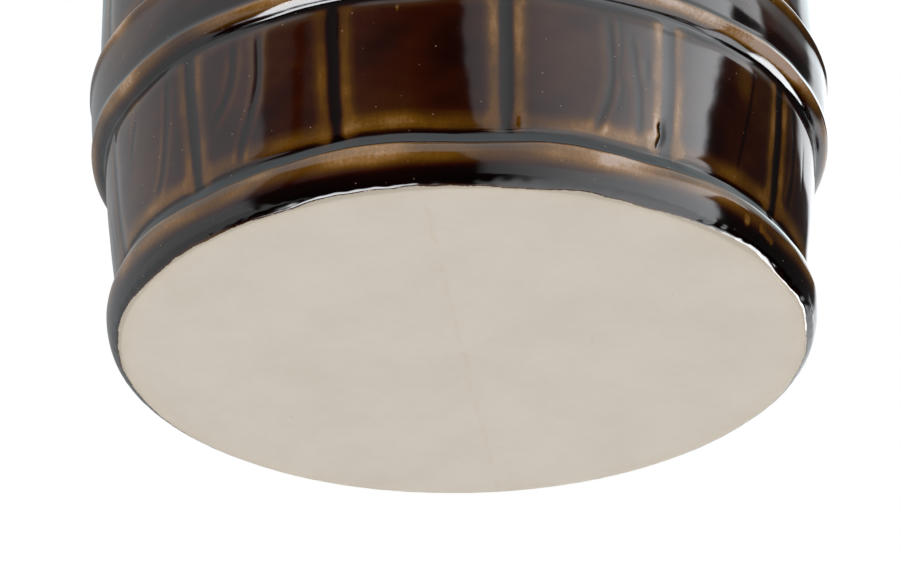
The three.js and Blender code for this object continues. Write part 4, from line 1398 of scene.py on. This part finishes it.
def joined_pieces(first, second):
    """Adds the second piece's mesh to the first as a shell of its own."""
    parts = []
    for piece in (first, second):
        mesh = piece.data
        mesh.calc_loop_triangles()
        points = np.empty(len(mesh.vertices) * 3)
        mesh.vertices.foreach_get("co", points)
        faces = np.empty(len(mesh.loop_triangles) * 3, np.int64)
        mesh.loop_triangles.foreach_get("vertices", faces)
        faces = faces.reshape(-1, 3)
        _, kind, count = np.unique(
            np.sort(faces, 1), axis=0, return_inverse=True, return_counts=True,
        )
        faces = faces[count[kind.ravel()] == 1]
        used, faces = np.unique(faces, return_inverse=True)
        faces = np.hstack([faces.reshape(-1, 3), np.full((faces.size // 3, 1), -1)])
        parts.append((points.reshape(-1, 3)[used] / MM, faces))
    name, material = first.name, first.data.materials[0]
    bpy.data.objects.remove(first)
    bpy.data.objects.remove(second)
    return mesh_piece(name, *together(*parts), material)


def build_plug(material):
    outline = softened([
        (0, -21), (2.5, -21), (2.6, -13.9), (5.3, -13.7), (6.6, 14), (6.6, 14.3), (8.8, 14.3),
        (8.8, 16.5), (0, 16.5),
    ], 0.3)
    shells = together(
        turned(filled(outline, 0.8)), block(3, 3, 15.4, 24), turned(filled(rod(1.8, 20, 28), 1)),
    )
    plug = mesh_piece("brass_plug", *moved(shells, PLUG_PLACE), material)
    cast(plug, 0.24, 3)
    port = turned(rod(3.4, -10, 10), 64)
    notch = sector(6.7, 12, -107, 17, 14.25, 17)
    cut_from(plug, [moved(port, PLUG_PLACE, along_across), moved(notch, PLUG_PLACE)])
    upper = threaded(23.4, 27.9, 2.2, 0.8, 0.26, 64)
    lower = threaded(-20.9, -14.2, 3, 1, 0.32, 72)
    screws = mesh_piece("screws", *moved(together(upper, lower), PLUG_PLACE), material)
    return finish_piece(joined_pieces(plug, screws), "tap_plug", "tap_key")


def build_handle(material):
    low, high = 16.8, 23.4
    middle = (low + high) / 2
    hub = softened([
        (0, low), (5.1, low), (5.95, low + 0.8), (5.95, low + 1.7), (5.45, low + 2.2),
        (5.45, high - 2.2), (5.95, high - 1.7), (5.95, high - 0.8), (5.1, high), (0, high),
    ], 0.35)
    neck = ARM_LENGTH - 2 * ARM_BALL
    arm = [(0, 0), (2.75, 0), (2.75, 6.6), (3.1, 7), (3.1, 7.6), (2.35, 8.1), (2.05, neck - 0.9),
           (2.6, neck - 0.7), (2.6, neck - 0.1), (2.1, neck + 0.3)]
    for turn in np.radians(np.arange(38, 179, 10)):
        height = ARM_LENGTH - ARM_BALL - ARM_BALL * math.cos(turn)
        arm.append((ARM_BALL * math.sin(turn), height))
    arm.append((0, ARM_LENGTH))
    right = moved(turned(filled(arm, 0.6), 64), (0, 0, middle), along_across)
    left = (right[0] * (-1, -1, 1), right[1])
    shells = together(turned(filled(hub, 0.8)), right, left)
    handle = mesh_piece("brass_handle", *moved(shells, PLUG_PLACE), material)
    cast(handle, 0.22, 3)
    cut_from(handle, [moved(block(3.3, 3.3, low - 2, high + 2), PLUG_PLACE)])
    return finish_piece(handle, "tap_handle", "tap_key")


def build_fixings(brass, rubber):
    """Nuts, washers and seals."""
    dome = [
        (0, 3.7), (2.5, 3.7), (2.5, 0.4), (2.9, 0), (3.9, 0), (4.62, 0.4), (4.62, 2.6), (4.0, 3),
        (3.7, 3.05),
    ]
    for turn in np.radians(np.arange(8, 90, 9)):
        dome.append((3.7 * math.cos(turn), 3.05 + 3.6 * math.sin(turn)))
    dome.append((0, 6.65))
    cap = turned(filled(dome, 0.3), 192, shape=hexagon(8))
    pad_depth = PAD_FACE - INNER_PAD_FACE
    seal_back = -pad_depth - 2.3
    washer_back = seal_back - 1.5
    nut_back = washer_back - 0.3

    def seal(outer, back, thickness, soft):
        return moved(ring(SHANK_CLEAR, outer, back, back + thickness, soft), PAD_PLACE, along_out)

    shank_nut = nut(SHANK_NUT_FLATS, SHANK_NUT_HEIGHT, SHANK_CLEAR, THREAD_PITCH)
    nut_place = shifted(PAD_PLACE, y=SHANK_NUT_HEIGHT - nut_back)
    parts = [
        ("handle_nut", moved(cap, shifted(PLUG_PLACE, z=24.3)), "tap_key", brass),
        ("plug_washer", moved(ring(3.3, 7.6, -15.5, -14.3, 0.3), PLUG_PLACE), "tap_key", brass),
        ("plug_nut", moved(nut(9.6, 4, 3.3, 1), shifted(PLUG_PLACE, z=-19.8)), "tap_key", brass),
        ("flange_seal", seal(13, 0.3, 2, 0.7), "barrel", rubber),
        ("inner_seal", seal(13, seal_back, 2, 0.7), "barrel", rubber),
        ("inner_washer", seal(12, washer_back, 1.2, 0.35), "barrel", brass),
        ("shank_nut", moved(shank_nut, nut_place, along_out), "barrel", brass),
    ]
    for node, part, body, material in parts:
        finish_piece(mesh_piece("made_" + node, *part, material), node, body)


def build_barrel(material):
    random = np.random.default_rng(BARREL_SEED)
    relief = Relief(random)
    relief.cut_grooves(random)
    relief.carve_grain(random)
    relief.add_spots(SPOTS, SPOT_LEAST)
    relief.add_spots(THIN_ARRIS, THIN_ARRIS_LEAST)
    relief.add_waves(random)
    angle, rows = barrel_rows(relief, random)
    barrel = ring_mesh("stoneware_barrel", angle, rows, material)
    hole = turned(rod(SHANK_HOLE_RADIUS, INNER_PAD_FACE - 2, PAD_FACE + 2))
    cut_from(barrel, [moved(hole, (0, 0, TAP_HEIGHT), along_out)])
    return finish_piece(barrel, "barrel_body", "barrel")


def main():
    bpy.context.scene.view_settings.view_transform = "Standard"
    glaze = glaze_material()
    brass = brass_material()
    rubber = rubber_material()
    build_camera()
    build_world()
    build_floor()
    build_lamps()
    build_barrel(glaze)
    build_lid(glaze)
    build_tap_body(brass)
    build_plug(brass)
    build_handle(brass)
    build_fixings(brass, rubber)


main()
